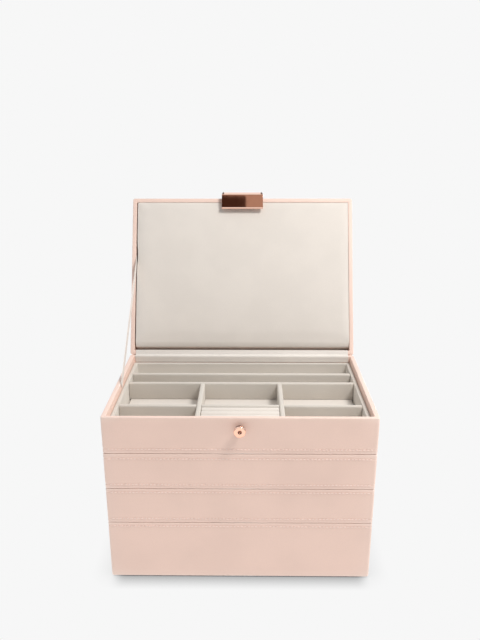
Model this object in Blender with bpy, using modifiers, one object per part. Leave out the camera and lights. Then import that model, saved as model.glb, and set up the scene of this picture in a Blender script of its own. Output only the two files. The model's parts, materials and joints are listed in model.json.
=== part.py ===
"""Tiered jewellery box: a deep base, two lift-off trays and a lidded top box.

Every tier is a leather-covered shell with a velvet liner inside it. The liner ends below the shell's rim,
and the plinth under the next tier drops into that recess. The lid is hinged on a leather strip at the back,
stopped by a ribbon on the left. Its cushion is level with its rim, and its metal clasp has a plate that lies
along the open lid and hangs over a stud on the front when the lid is closed.

Metres, +Z up. The origin is on the resting face under the middle of the base. The front faces -Y.
"""

import math

import bmesh
import bpy
from mathutils import Matrix, Vector
from mathutils.geometry import interpolate_bezier

# Outer sizes
BOX_WIDTH = 0.250
BOX_DEPTH = 0.180
TOP_BOX_HEIGHT = 0.0357
TRAY_HEIGHT = 0.0357
BASE_HEIGHT = 0.0594
LID_HEIGHT = 0.020
LID_OPEN_ANGLE = math.radians(116.7)
CLASP_OPEN_ANGLE = math.radians(90)

# Boards, fabric and the gaps between them
WALL = 0.0045
LINER_WALL = 0.004
FLOOR_PAD = 0.0016
FELT = 0.0008
FELT_INSET = 0.003
CLEARANCE = 0.0003
RIM_RECESS = 0.007
PLINTH_PLAY = 0.0008
PLINTH_CHAMFER = 0.0015
EDGE_ROUND = 0.0015
LINER_ROUND = 0.0012
PAD_EDGE_ROUND = 0.0006
EDGE_SEGMENTS = 3

# Dividers
DIVIDER = 0.0048
DIVIDER_ROUND = 0.0015
REAR_SLOT_DEPTH = 0.0309
MID_SLOT_DEPTH = 0.0229
FRONT_CELL_DEPTH = 0.0366
TOP_COLUMNS = 3
UPPER_TRAY_COLUMNS = 4
LOWER_TRAY_COLUMNS = 3
BASE_COLUMNS = 2

# Ring rolls
RING_ROLLS = 4
RING_ROLL_SEGMENTS = 8

# Lid padding
HINGE_SETBACK = 0.0004
BACKING_BOARD = 0.0018
LID_PAD = 0.0118
LID_PAD_CROWN = 0.0018
LID_PAD_DRAW = 0.0006
LID_PAD_LEFT_GAP = 0.0019
LID_PAD_RIGHT_GAP = 0.0004
LID_PAD_REAR_GAP = 0.0026
LID_PAD_FRONT_GAP = 0.0006
LID_PAD_ROUND = 0.004
LID_PAD_CAGE = (12, 9)

# Fabric hinge
STRIP = 0.0008
STRIP_LAP = 0.014
STRIP_FOLD = 0.0035
STRIP_FOLD_POINTS = 10
STRIP_END_INSET = 0.003
LINING = 0.0008
LINING_LAP = 0.0052
LINING_CORNER = 0.0012
LINING_END_GAP = 0.0006
LINING_FILLET_STEPS = 6

# Ribbon stay
RIBBON = 0.0004
RIBBON_WIDTH = 0.008
RIBBON_BOX_REACH = 0.092
RIBBON_BOX_DROP = 0.0031
RIBBON_LID_REACH = 0.112
RIBBON_LID_RISE = 0.004

# Stud on the front
STUD_DROP = 0.0115
STUD_REACH = 0.0067
STUD_HEAD_RADIUS = 0.0055
STUD_HEAD = 0.0026
STUD_RIM_ROUND = 0.0010
STUD_DISH_RADIUS = 0.0034
STUD_DISH = 0.0008
STUD_EYE_RADIUS = 0.0014
STUD_EYE = 0.0010
STUD_NECK_RADIUS = 0.0022
STUD_SHANK_RADIUS = 0.0013
STUD_SHANK = 0.0030
WASHER = 0.0007
WASHER_RADIUS = 0.0042

# Clasp
CLASP_CLEARANCE = 0.00035
PIN_STANDOFF = 0.0046
PIN_DROP = 0.0024
PIN_RADIUS = 0.0007
PIN_HEAD_RADIUS = 0.0012
PIN_HEAD = 0.0005
KNUCKLE_RADIUS = 0.0018
PLATE_WIDTH = 0.0466
PLATE_DROP = 0.0190
PLATE = 0.0011
PLATE_SHOULDER = 0.0015
PLATE_LIP = 0.0018
PLATE_LIP_RADIUS = 0.0016
EAR = 0.0012
EAR_RADIUS = 0.0017
EAR_FOOT = 0.0058
BRACKET = 0.0010
BRACKET_HEIGHT = 0.008
BRACKET_RISE = 0.001
BRACKET_ROUND = 0.0004
RIVET_SPACING = 0.024
RIVET_SHANK_RADIUS = 0.0008
RIVET_SHANK = 0.0030
RIVET_HEAD_RADIUS = 0.0017
RIVET_HEAD = 0.0007

# Facets, arcs in degrees, turns and cuts
ROUND_SIDES = 24
SMALL_SIDES = 16
EAR_STEPS = 12
PLATE_ARC_STEPS = 6
SMALL_ARC_STEPS = 4
EAR_SWEEP = (120, 330)
STUD_RIM_SWEEP = (90, -30)
PLATE_LIP_SWEEP = -60
FACE_FORWARD = (math.radians(90), 0, 0)
FACE_SIDEWAYS = (0, math.radians(90), 0)
CUT_OVERRUN = 0.002
SHARP_ANGLE = math.radians(30)

# Heights of the stack, from the resting face up
BASE_BOTTOM = FELT + CLEARANCE
BASE_RIM = BASE_BOTTOM + BASE_HEIGHT
LOWER_TRAY_BOTTOM = BASE_RIM + CLEARANCE
LOWER_TRAY_RIM = LOWER_TRAY_BOTTOM + TRAY_HEIGHT
UPPER_TRAY_BOTTOM = LOWER_TRAY_RIM + CLEARANCE
UPPER_TRAY_RIM = UPPER_TRAY_BOTTOM + TRAY_HEIGHT
TOP_BOX_BOTTOM = UPPER_TRAY_RIM + CLEARANCE
TOP_BOX_RIM = TOP_BOX_BOTTOM + TOP_BOX_HEIGHT

# The space inside a shell and inside a liner, as half width and half depth
SHELL_HALF = (BOX_WIDTH / 2 - WALL, BOX_DEPTH / 2 - WALL)
LINER_HALF = (SHELL_HALF[0] - CLEARANCE, SHELL_HALF[1] - CLEARANCE)
CELL_HALF = (LINER_HALF[0] - LINER_WALL, LINER_HALF[1] - LINER_WALL)
CELL_SPAN_Y = (-CELL_HALF[1], CELL_HALF[1])
FLOOR_STACK = WALL + CLEARANCE + LINER_WALL + CLEARANCE + FLOOR_PAD

# Lid and clasp, in the lid's own frame: origin on the hinge axis, lid closed
LID_BACK = -HINGE_SETBACK
LID_FRONT = LID_BACK - BOX_DEPTH
LID_RIM = CLEARANCE / 2
LID_TOP = LID_RIM + LID_HEIGHT
HINGE = Vector((0, BOX_DEPTH / 2 + HINGE_SETBACK, TOP_BOX_RIM + CLEARANCE / 2))
CLASP_PIN = Vector((0, LID_FRONT - PIN_STANDOFF, -PIN_DROP))

LEATHER = ((0.80, 0.60, 0.52), 0.55, 0.0)
VELVET = ((0.72, 0.67, 0.61), 0.90, 0.0)
PALE_VELVET = ((0.86, 0.82, 0.77), 0.90, 0.0)
SATIN = ((0.93, 0.91, 0.88), 0.40, 0.0)
FELT_FINISH = ((0.55, 0.50, 0.46), 0.95, 0.0)
ROSE_GOLD = ((0.86, 0.52, 0.40), 0.22, 1.0)


def clear_scene():
    """Removes whatever the file held before."""
    for obj in list(bpy.data.objects):
        bpy.data.objects.remove(obj, do_unlink=True)


def make_collection(name):
    """A new collection in the scene."""
    collection = bpy.data.collections.new(name)
    bpy.context.scene.collection.children.link(collection)
    return collection


def give_material(obj, finish):
    """Gives the object its own Principled material from a colour, roughness and metallic value."""
    colour, roughness, metallic = finish
    material = bpy.data.materials.new(obj.name)
    material.use_nodes = True
    shader = material.node_tree.nodes["Principled BSDF"]
    shader.inputs["Base Color"].default_value = (*colour, 1.0)
    shader.inputs["Roughness"].default_value = roughness
    shader.inputs["Metallic"].default_value = metallic
    obj.data.materials.append(material)


def add_object(name, mesh, collection, finish=None, parent=None):
    """Links a mesh as a named object, with its material and parent."""
    obj = bpy.data.objects.new(name, mesh)
    collection.objects.link(obj)
    obj.parent = parent
    if finish:
        give_material(obj, finish)
    return obj


def add_empty(name, collection, location, turn=0.0, parent=None):
    """An empty on a joint's axis, turned about X."""
    empty = bpy.data.objects.new(name, None)
    collection.objects.link(empty)
    empty.location = location
    empty.rotation_euler = (turn, 0, 0)
    empty.parent = parent
    return empty


def mesh_from(bm, name):
    """Turns a bmesh into a mesh with outward faces."""
    bmesh.ops.recalc_face_normals(bm, faces=bm.faces)
    mesh = bpy.data.meshes.new(name)
    bm.to_mesh(mesh)
    bm.free()
    return mesh


def block_bmesh(low, high):
    """A box between two corners, as a bmesh."""
    low, high = Vector(low), Vector(high)
    bm = bmesh.new()
    bmesh.ops.create_cube(bm, size=1.0)
    bmesh.ops.scale(bm, vec=high - low, verts=bm.verts)
    bmesh.ops.translate(bm, vec=(low + high) / 2, verts=bm.verts)
    return bm


def block(name, low, high):
    """A box between two corners, as a mesh."""
    return mesh_from(block_bmesh(low, high), name)


def round_edges(obj, width, segments=EDGE_SEGMENTS):
    """A live bevel on every sharp edge."""
    bevel = obj.modifiers.new("round", "BEVEL")
    bevel.width = width
    bevel.segments = segments
    bevel.limit_method = "ANGLE"
    bevel.angle_limit = SHARP_ANGLE
    return bevel


def thicken(obj, thickness):
    """Makes a closed shell of an open surface, with its thickness inside."""
    solidify = obj.modifiers.new("board", "SOLIDIFY")
    solidify.thickness = thickness
    solidify.offset = -1.0
    solidify.use_even_offset = True
    return solidify


def cut(obj, cutter):
    """Takes a cutter's volume out of the object."""
    boolean = obj.modifiers.new("cut", "BOOLEAN")
    boolean.operation = "DIFFERENCE"
    boolean.solver = "EXACT"
    boolean.object = cutter
    return boolean


def join(obj, other):
    """Adds another solid's volume to the object."""
    boolean = obj.modifiers.new("join", "BOOLEAN")
    boolean.operation = "UNION"
    boolean.solver = "EXACT"
    boolean.object = other
    return boolean


def add_tool(name, mesh, collection, parent=None):
    """A solid that cuts or joins others and isn't a piece itself."""
    tool = add_object(name, mesh, collection, parent=parent)
    tool.hide_render = True
    tool.display_type = "WIRE"
    return tool


def open_tray(name, low, high, opens_up=True):
    """The outside faces of a block without its open side, top or bottom, for a Solidify modifier."""
    bm = block_bmesh(low, high)
    open_height = high[2] if opens_up else low[2]
    open_side = min(bm.faces, key=lambda face: abs(face.calc_center_median().z - open_height))
    bmesh.ops.delete(bm, geom=[open_side], context="FACES")
    mesh = bpy.data.meshes.new(name)
    bm.to_mesh(mesh)
    bm.free()
    return mesh


def prism_from_outline(name, outline, low, high):
    """A solid whose outline of (y, z) points is carried along X from low to high."""
    bm = bmesh.new()
    ring = [bm.verts.new((low, y, z)) for y, z in outline]
    face = bm.faces.new(ring)
    moved = bmesh.ops.extrude_face_region(bm, geom=[face])["geom"]
    verts = [item for item in moved if isinstance(item, bmesh.types.BMVert)]
    bmesh.ops.translate(bm, vec=(high - low, 0, 0), verts=verts)
    return mesh_from(bm, name)


def rod(name, radius, start, end, sides=SMALL_SIDES):
    """A cylinder between two points."""
    start, end = Vector(start), Vector(end)
    turn = (end - start).to_track_quat("Z", "Y").to_matrix().to_4x4()
    place = Matrix.Translation((start + end) / 2) @ turn
    length = (end - start).length
    bm = bmesh.new()
    bmesh.ops.create_cone(
        bm, cap_ends=True, segments=sides, radius1=radius, radius2=radius, depth=length, matrix=place
    )
    return mesh_from(bm, name)


def arc(centre, radius, start, end, steps):
    """Points on an arc from one angle to another, in degrees, both ends included."""
    turn = [math.radians(start + (end - start) * i / steps) for i in range(steps + 1)]
    return [(centre[0] + radius * math.cos(a), centre[1] + radius * math.sin(a)) for a in turn]


def turned(name, profile, collection, finish, parent=None, sides=ROUND_SIDES):
    """A solid of revolution about its own Z from (radius, height) points, down its outside."""
    bm = bmesh.new()
    verts = [bm.verts.new((radius, 0, height)) for radius, height in profile]
    for upper, lower in zip(verts, verts[1:]):
        bm.edges.new((upper, lower))
    mesh = bpy.data.meshes.new(name)
    bm.to_mesh(mesh)
    bm.free()
    obj = add_object(name, mesh, collection, finish, parent)
    screw = obj.modifiers.new("turn", "SCREW")
    screw.axis = "Z"
    screw.steps = sides
    screw.render_steps = sides
    screw.use_merge_vertices = True
    screw.merge_threshold = 0.00001
    screw.use_smooth_shade = False
    return obj


def offset_band(path, half):
    """The closed outline of a sheet of even thickness along a path of (y, z) points."""
    left, right = [], []
    for i, point in enumerate(path):
        before = Vector(path[max(i - 1, 0)])
        after = Vector(path[min(i + 1, len(path) - 1)])
        here = Vector(point)
        into = (here - before).normalized() if i else (after - here).normalized()
        out = (after - here).normalized() if i < len(path) - 1 else into
        normal = Vector((-into.y - out.y, into.x + out.x)).normalized()
        reach = half / max(normal.dot(Vector((-into.y, into.x))), 0.5)
        left.append(tuple(here + normal * reach))
        right.append(tuple(here - normal * reach))
    return left + right[::-1]


def make_shell(name, collection, bottom, rim):
    """A leather-covered tray: a floor and four walls of one board thickness."""
    half = (BOX_WIDTH / 2, BOX_DEPTH / 2)
    faces = open_tray(name, (-half[0], -half[1], bottom), (half[0], half[1], rim))
    shell = add_object(name, faces, collection, LEATHER)
    thicken(shell, WALL)
    round_edges(shell, EDGE_ROUND)
    return shell


def make_liner(name, collection, bottom, rim):
    """The velvet inner tray, which ends below the shell's rim so that the next tier can nest."""
    half = LINER_HALF
    low = bottom + WALL + CLEARANCE
    faces = open_tray(name, (-half[0], -half[1], low), (half[0], half[1], rim - RIM_RECESS))
    liner = add_object(name, faces, collection, PALE_VELVET)
    thicken(liner, LINER_WALL)
    round_edges(liner, LINER_ROUND, EDGE_SEGMENTS - 1)
    return liner


def make_floor_pad(name, collection, bottom):
    """The padded card on the liner's floor."""
    half = (CELL_HALF[0] - CLEARANCE - LINER_ROUND, CELL_HALF[1] - CLEARANCE - LINER_ROUND)
    top = bottom + FLOOR_STACK
    card = block(name, (-half[0], -half[1], top - FLOOR_PAD), (half[0], half[1], top))
    pad = add_object(name, card, collection, PALE_VELVET)
    round_edges(pad, PAD_EDGE_ROUND, EDGE_SEGMENTS - 1)
    return pad


def make_plinth(name, collection, bottom):
    """The board under a tier, which drops into the rim of the tier below and stops above its liner."""
    half = (SHELL_HALF[0] - PLINTH_PLAY, SHELL_HALF[1] - PLINTH_PLAY)
    board = block(name, (-half[0], -half[1], bottom - RIM_RECESS), (half[0], half[1], bottom - CLEARANCE))
    plinth = add_object(name, board, collection, VELVET)
    round_edges(plinth, PLINTH_CHAMFER, EDGE_SEGMENTS - 1)
    return plinth


def make_divider(name, collection, low, high):
    """A velvet-covered board with a rounded top, between two corners."""
    divider = add_object(name, block(name, low, high), collection, VELVET)
    round_edges(divider, DIVIDER_ROUND)
    return divider


def cell_span(index, count, half):
    """The low and high edge of one of a row of equal cells with dividers between them."""
    cell = (2 * half - (count - 1) * DIVIDER) / count
    low = -half + index * (cell + DIVIDER)
    return low, low + cell


def fore_and_aft_dividers(names, collection, columns, span, floor, top):
    """Dividers between equal columns, over a span from front to back."""
    front, back = span
    for index, name in enumerate(names):
        after_cell = cell_span(index, columns, CELL_HALF[0])[1]
        make_divider(
            name,
            collection,
            (after_cell, front + CLEARANCE, floor + CLEARANCE),
            (after_cell + DIVIDER, back - CLEARANCE, top),
        )


def make_tier(name, collection, bottom, rim, nests=True):
    """Shell, liner and floor pad of one tier, with its plinth if it stands on another."""
    make_shell(f"{name}_shell", collection, bottom, rim)
    if nests:
        make_plinth(f"{name}_plinth", collection, bottom)
    make_liner(f"{name}_liner", collection, bottom, rim)
    make_floor_pad(f"{name}_floor_pad", collection, bottom)
    return bottom + FLOOR_STACK, rim - RIM_RECESS


def build_base(collection):
    """The deep base tier on its felt sheet, split in two by one divider."""
    half = (BOX_WIDTH / 2 - FELT_INSET, BOX_DEPTH / 2 - FELT_INSET)
    sheet = block("base_felt", (-half[0], -half[1], 0), (half[0], half[1], FELT))
    add_object("base_felt", sheet, collection, FELT_FINISH)
    floor, top = make_tier("base", collection, BASE_BOTTOM, BASE_RIM, nests=False)
    fore_and_aft_dividers(["base_divider"], collection, BASE_COLUMNS, CELL_SPAN_Y, floor, top)


def build_lower_tray(collection):
    """The lower tray: three long compartments side by side."""
    floor, top = make_tier("lower_tray", collection, LOWER_TRAY_BOTTOM, LOWER_TRAY_RIM)
    names = ["lower_tray_divider_left", "lower_tray_divider_right"]
    fore_and_aft_dividers(names, collection, LOWER_TRAY_COLUMNS, CELL_SPAN_Y, floor, top)


def build_upper_tray(collection):
    """The upper tray: two rows of equal cells on either side of a cross divider."""
    floor, top = make_tier("upper_tray", collection, UPPER_TRAY_BOTTOM, UPPER_TRAY_RIM)
    across = CELL_HALF[0] - CLEARANCE
    make_divider(
        "upper_tray_cross_divider",
        collection,
        (-across, -DIVIDER / 2, floor + CLEARANCE),
        (across, DIVIDER / 2, top),
    )
    rows = {"front": (-CELL_HALF[1], -DIVIDER / 2), "rear": (DIVIDER / 2, CELL_HALF[1])}
    for row, span in rows.items():
        names = [f"upper_tray_{row}_divider_{index + 1}" for index in range(UPPER_TRAY_COLUMNS - 1)]
        fore_and_aft_dividers(names, collection, UPPER_TRAY_COLUMNS, span, floor, top)


def make_ring_roll(name, collection, span, front, back, floor, top):
    """A velvet roll: a block with a half-round top, lying along X."""
    radius = (back - front) / 2
    middle = (front + back) / 2
    outline = arc((middle, top - radius), radius, 0, 180, RING_ROLL_SEGMENTS)
    outline += [(front, floor), (back, floor)]
    return add_object(name, prism_from_outline(name, outline, *span), collection, PALE_VELVET)


def build_top_box(collection, tools):
    """The top box with its dividers, ring rolls and the stud on its front."""
    floor, top = make_tier("top_box", collection, TOP_BOX_BOTTOM, TOP_BOX_RIM)
    across = CELL_HALF[0] - CLEARANCE
    rear_front = CELL_HALF[1] - REAR_SLOT_DEPTH - DIVIDER
    mid_front = rear_front - MID_SLOT_DEPTH - DIVIDER
    front_low = -CELL_HALF[1] + FRONT_CELL_DEPTH
    for name, low in (("rear_divider", rear_front), ("mid_divider", mid_front)):
        make_divider(name, collection, (-across, low, floor + CLEARANCE), (across, low + DIVIDER, top))
    columns = (CELL_SPAN_Y[0], mid_front)
    fore_and_aft_dividers(["left_divider", "right_divider"], collection, TOP_COLUMNS, columns, floor, top)
    for index, name in enumerate(("front_divider_left", "front_divider_middle", "front_divider_right")):
        low, high = cell_span(index, TOP_COLUMNS, CELL_HALF[0])
        make_divider(
            name,
            collection,
            (low + CLEARANCE, front_low, floor + CLEARANCE),
            (high - CLEARANCE, front_low + DIVIDER, top),
        )
    build_ring_rolls(collection, front_low, floor, top)
    build_stud(collection, tools)


def build_ring_rolls(collection, back, floor, top):
    """Rolls side by side from the liner's front wall to the cross divider behind them."""
    low, high = cell_span(TOP_COLUMNS // 2, TOP_COLUMNS, CELL_HALF[0])
    front = -CELL_HALF[1]
    pitch = (back - front) / RING_ROLLS
    for index in range(RING_ROLLS):
        start = front + index * pitch
        make_ring_roll(
            f"ring_roll_{index + 1}",
            collection,
            (low + CLEARANCE, high - CLEARANCE),
            start + CLEARANCE / 2,
            start + pitch - CLEARANCE / 2,
            floor + CLEARANCE,
            top,
        )


def build_stud(collection, tools):
    """The dished mushroom stud with its eye, and the washer; the shank sits in a pocket of the front wall."""
    centre = Vector((0, -BOX_DEPTH / 2, TOP_BOX_RIM - STUD_DROP))
    head_back = STUD_REACH - STUD_HEAD
    neck_foot = WASHER + 2 * CLEARANCE
    dish_edge = STUD_HEAD_RADIUS - STUD_RIM_ROUND
    eye_edge = STUD_REACH - STUD_DISH * 3 / 4
    profile = [
        (0, eye_edge - STUD_EYE),
        (STUD_EYE_RADIUS, eye_edge - STUD_EYE),
        (STUD_EYE_RADIUS, eye_edge),
        (STUD_DISH_RADIUS, STUD_REACH - STUD_DISH / 4),
        ((STUD_DISH_RADIUS + dish_edge) / 2, STUD_REACH),
    ]
    rim_centre = (dish_edge, STUD_REACH - STUD_RIM_ROUND)
    profile += arc(rim_centre, STUD_RIM_ROUND, *STUD_RIM_SWEEP, SMALL_ARC_STEPS)
    profile += [
        (STUD_NECK_RADIUS, head_back),
        (STUD_NECK_RADIUS, neck_foot),
        (STUD_SHANK_RADIUS, neck_foot),
        (STUD_SHANK_RADIUS, -STUD_SHANK),
        (0, -STUD_SHANK),
    ]
    stud = turned("clasp_stud", profile, collection, ROSE_GOLD)
    stud.location = centre
    stud.rotation_euler = FACE_FORWARD
    washer_hole = STUD_SHANK_RADIUS + CLEARANCE
    ring = [
        (washer_hole, CLEARANCE + WASHER),
        (WASHER_RADIUS - WASHER / 2, CLEARANCE + WASHER),
        (WASHER_RADIUS, CLEARANCE + WASHER / 2),
        (WASHER_RADIUS, CLEARANCE),
        (washer_hole, CLEARANCE),
        (washer_hole, CLEARANCE + WASHER),
    ]
    washer = turned("stud_washer", ring, collection, ROSE_GOLD)
    washer.location = centre
    washer.rotation_euler = FACE_FORWARD
    pocket_end = centre + Vector((0, STUD_SHANK + CLEARANCE, 0))
    pocket_start = centre - Vector((0, CUT_OVERRUN, 0))
    pocket = add_tool("stud_pocket", rod("stud_pocket", washer_hole, pocket_start, pocket_end), tools)
    cut(collection.objects["top_box_shell"], pocket)


def build_lid(collection, tools, hinge):
    """The lid's shell, backing board and padded panel, all on the hinge empty."""
    half_width = BOX_WIDTH / 2
    low, high = (-half_width, LID_FRONT, LID_RIM), (half_width, LID_BACK, LID_TOP)
    faces = open_tray("lid_shell", low, high, opens_up=False)
    shell = add_object("lid_shell", faces, collection, LEATHER, hinge)
    thicken(shell, WALL)
    round_edges(shell, EDGE_ROUND)

    inside = half_width - WALL
    board_top = LID_TOP - WALL - CLEARANCE
    board_bottom = board_top - BACKING_BOARD
    low = (-inside + EDGE_ROUND, LID_FRONT + WALL + EDGE_ROUND, board_bottom)
    high = (inside - EDGE_ROUND, LID_BACK - WALL - EDGE_ROUND, board_top)
    board_mesh = block("lid_backing_board", low, high)
    board = add_object("lid_backing_board", board_mesh, collection, VELVET, hinge)
    round_edges(board, PAD_EDGE_ROUND, EDGE_SEGMENTS - 1)

    pad_top = board_bottom - CLEARANCE
    low = (-inside + LID_PAD_LEFT_GAP, LID_FRONT + WALL + LID_PAD_FRONT_GAP, pad_top - LID_PAD)
    high = (inside - LID_PAD_RIGHT_GAP, LID_BACK - WALL - LID_PAD_REAR_GAP, pad_top)
    make_lid_pad(collection, hinge, low, high)


def make_lid_pad(collection, hinge, low, high):
    """A cushion with a crowned face towards the box and sides drawn in between its corners."""
    low, high = Vector(low), Vector(high)
    centre = (low + high) / 2
    half = (high - low) / 2
    bm = bmesh.new()
    bmesh.ops.create_grid(bm, x_segments=LID_PAD_CAGE[0], y_segments=LID_PAD_CAGE[1], size=1.0)
    moved = bmesh.ops.extrude_face_region(bm, geom=list(bm.faces))["geom"]
    upper = {item for item in moved if isinstance(item, bmesh.types.BMVert)}
    for vert in bm.verts:
        across, along = vert.co.x, vert.co.y
        drawn_x = LID_PAD_DRAW * (1 - along**2)
        drawn_y = LID_PAD_DRAW * (1 - across**2)
        vert.co.x = centre.x + across * (half.x - drawn_x)
        vert.co.y = centre.y + along * (half.y - drawn_y)
        if vert in upper:
            vert.co.z = high.z
        else:
            crown = LID_PAD_CROWN * (1 - across**4) * (1 - along**4)
            vert.co.z = low.z - crown
    pad = add_object("lid_pad", mesh_from(bm, "lid_pad"), collection, VELVET, hinge)
    round_edges(pad, LID_PAD_ROUND)
    return pad


def extruded_strip(name, path, half_width, thickness, collection, finish):
    """A strip of even thickness along a path of (y, z) points, as wide as two half widths along X."""
    outline = offset_band(path, thickness / 2)
    return add_object(name, prism_from_outline(name, outline, -half_width, half_width), collection, finish)


def in_lid_frame(back, rise):
    """World (y, z) of a lid point given by its distance forward of the hinge and its height, lid closed."""
    turn = Matrix.Rotation(-LID_OPEN_ANGLE, 3, "X")
    point = HINGE + turn @ Vector((0, -back, rise))
    return point.y, point.z


def build_hinge(collection):
    """The leather strip outside and the velvet lining inside, both following the open lid."""
    strip_off = CLEARANCE + STRIP / 2
    box_back = BOX_DEPTH / 2 + strip_off
    lid_back = -strip_off - LID_BACK
    fold = interpolate_bezier(
        Vector((box_back, TOP_BOX_RIM - STRIP_FOLD)),
        Vector((box_back, TOP_BOX_RIM - strip_off)),
        Vector(in_lid_frame(lid_back, LID_RIM + 2 * strip_off)),
        Vector(in_lid_frame(lid_back, LID_RIM + STRIP_FOLD)),
        STRIP_FOLD_POINTS,
    )
    outer = [(box_back, TOP_BOX_RIM - STRIP_LAP)]
    outer += [tuple(point) for point in fold]
    outer.append(in_lid_frame(lid_back, LID_RIM + STRIP_LAP))
    extruded_strip("hinge_strip", outer, BOX_WIDTH / 2 - STRIP_END_INSET, STRIP, collection, LEATHER)

    lining_off = CLEARANCE + LINING / 2
    box_inner = BOX_DEPTH / 2 - WALL - lining_off
    lid_inner = HINGE_SETBACK + WALL + lining_off
    over_box = TOP_BOX_RIM + lining_off
    over_lid = LID_RIM - lining_off
    around_box = (box_inner + LINING_CORNER, over_box - LINING_CORNER)
    inner = [(box_inner, TOP_BOX_RIM - RIM_RECESS + LINING_END_GAP)]
    inner += arc(around_box, LINING_CORNER, 180, 90, LINING_FILLET_STEPS)
    around_lid = (LINING_CORNER - lid_inner, over_lid + LINING_CORNER)
    for y, z in arc(around_lid, LINING_CORNER, -90, -180, LINING_FILLET_STEPS):
        inner.append(in_lid_frame(-y, z))
    inner.append(in_lid_frame(lid_inner, LID_RIM + LINING_LAP))
    half_width = SHELL_HALF[0] - EDGE_ROUND - CLEARANCE
    extruded_strip("hinge_lining", inner, half_width, LINING, collection, PALE_VELVET)


def build_ribbon(collection):
    """The taut ribbon on the left, from inside the box's wall to inside the lid's wall."""
    box_end = Vector((HINGE.y - RIBBON_BOX_REACH, TOP_BOX_RIM - RIBBON_BOX_DROP))
    lid_end = Vector(in_lid_frame(RIBBON_LID_REACH, LID_RIM + RIBBON_LID_RISE))
    outline = offset_band([tuple(box_end), tuple(lid_end)], RIBBON_WIDTH / 2)
    low = -SHELL_HALF[0] + CLEARANCE
    ribbon = prism_from_outline("ribbon_stay", outline, low, low + RIBBON)
    add_object("ribbon_stay", ribbon, collection, SATIN)


def build_clasp(collection, tools, hinge, pivot):
    """Bracket, rivets and pin on the lid, and the plate that swings on the pin."""
    half = PLATE_WIDTH / 2
    knuckle_half = half - PIN_HEAD - EAR - 3 * CLEARANCE
    ear_inner = knuckle_half + CLEARANCE
    ear_outer = ear_inner + EAR
    make_bracket(collection, tools, hinge, ear_inner, ear_outer)
    make_pin(collection, pivot, ear_outer + CLEARANCE)
    make_plate(collection, tools, pivot, half, knuckle_half)


def make_bracket(collection, tools, hinge, ear_inner, ear_outer):
    """A base plate on the lid's front wall with two ears that reach out to the pin."""
    face = LID_FRONT - CLEARANCE
    low = LID_RIM + BRACKET_RISE
    top = low + BRACKET_HEIGHT
    base_plate = block("clasp_bracket", (-ear_outer, face - BRACKET, low), (ear_outer, face, top))
    bracket = add_object("clasp_bracket", base_plate, collection, ROSE_GOLD, hinge)
    round_edges(bracket, BRACKET_ROUND, 1)
    pin = (CLASP_PIN.y, CLASP_PIN.z)
    foot = [(face - BRACKET / 2, low + BRACKET_ROUND), (face - BRACKET / 2, low + EAR_FOOT)]
    outline = arc(pin, EAR_RADIUS, *EAR_SWEEP, EAR_STEPS) + foot
    for side, start in (("left", -ear_outer), ("right", ear_inner)):
        name = f"clasp_ear_{side}"
        ear = prism_from_outline(name, outline, start, start + EAR)
        join(bracket, add_tool(name, ear, tools, hinge))
    reach = ear_outer + CUT_OVERRUN
    pin_hole = rod("clasp_pin_hole", PIN_RADIUS + CLEARANCE, (-reach, *pin), (reach, *pin))
    cut(bracket, add_tool("clasp_pin_hole", pin_hole, tools, hinge))
    rivet_height = top - RIVET_HEAD_RADIUS - BRACKET_ROUND
    make_rivets(collection, tools, hinge, bracket, face, rivet_height)


def make_rivets(collection, tools, hinge, bracket, face, height):
    """Two domed rivets through the bracket, each in a pocket of the lid's front wall."""
    shell = collection.objects["lid_shell"]
    head_foot = BRACKET + CLEARANCE
    dome = arc((0, 0), RIVET_HEAD_RADIUS, 90, 0, SMALL_ARC_STEPS)
    flatten = RIVET_HEAD / RIVET_HEAD_RADIUS
    profile = [(radius, head_foot + rise * flatten) for radius, rise in dome]
    profile += [
        (RIVET_SHANK_RADIUS, head_foot),
        (RIVET_SHANK_RADIUS, -CLEARANCE - RIVET_SHANK),
        (0, -CLEARANCE - RIVET_SHANK),
    ]
    for side, name in ((-1, "clasp_rivet_left"), (1, "clasp_rivet_right")):
        place = Vector((side * RIVET_SPACING / 2, face, height))
        rivet = turned(name, profile, collection, ROSE_GOLD, hinge, SMALL_SIDES)
        rivet.location = place
        rivet.rotation_euler = FACE_FORWARD
        hole_start = place - Vector((0, BRACKET + CUT_OVERRUN, 0))
        hole_end = place + Vector((0, 2 * CLEARANCE + RIVET_SHANK, 0))
        hole = rod(f"{name}_hole", RIVET_SHANK_RADIUS + CLEARANCE, hole_start, hole_end)
        tool = add_tool(f"{name}_hole", hole, tools, hinge)
        cut(bracket, tool)
        cut(shell, tool)


def make_pin(collection, pivot, reach):
    """The pin through ears and knuckle, with a small head at each end."""
    profile = [
        (0, reach + PIN_HEAD),
        (PIN_HEAD_RADIUS / 2, reach + PIN_HEAD),
        (PIN_HEAD_RADIUS, reach + PIN_HEAD / 2),
        (PIN_HEAD_RADIUS, reach),
        (PIN_RADIUS, reach),
    ]
    profile += [(radius, -height) for radius, height in reversed(profile)]
    pin = turned("clasp_pin", profile, collection, ROSE_GOLD, pivot, SMALL_SIDES)
    pin.rotation_euler = FACE_SIDEWAYS


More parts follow.
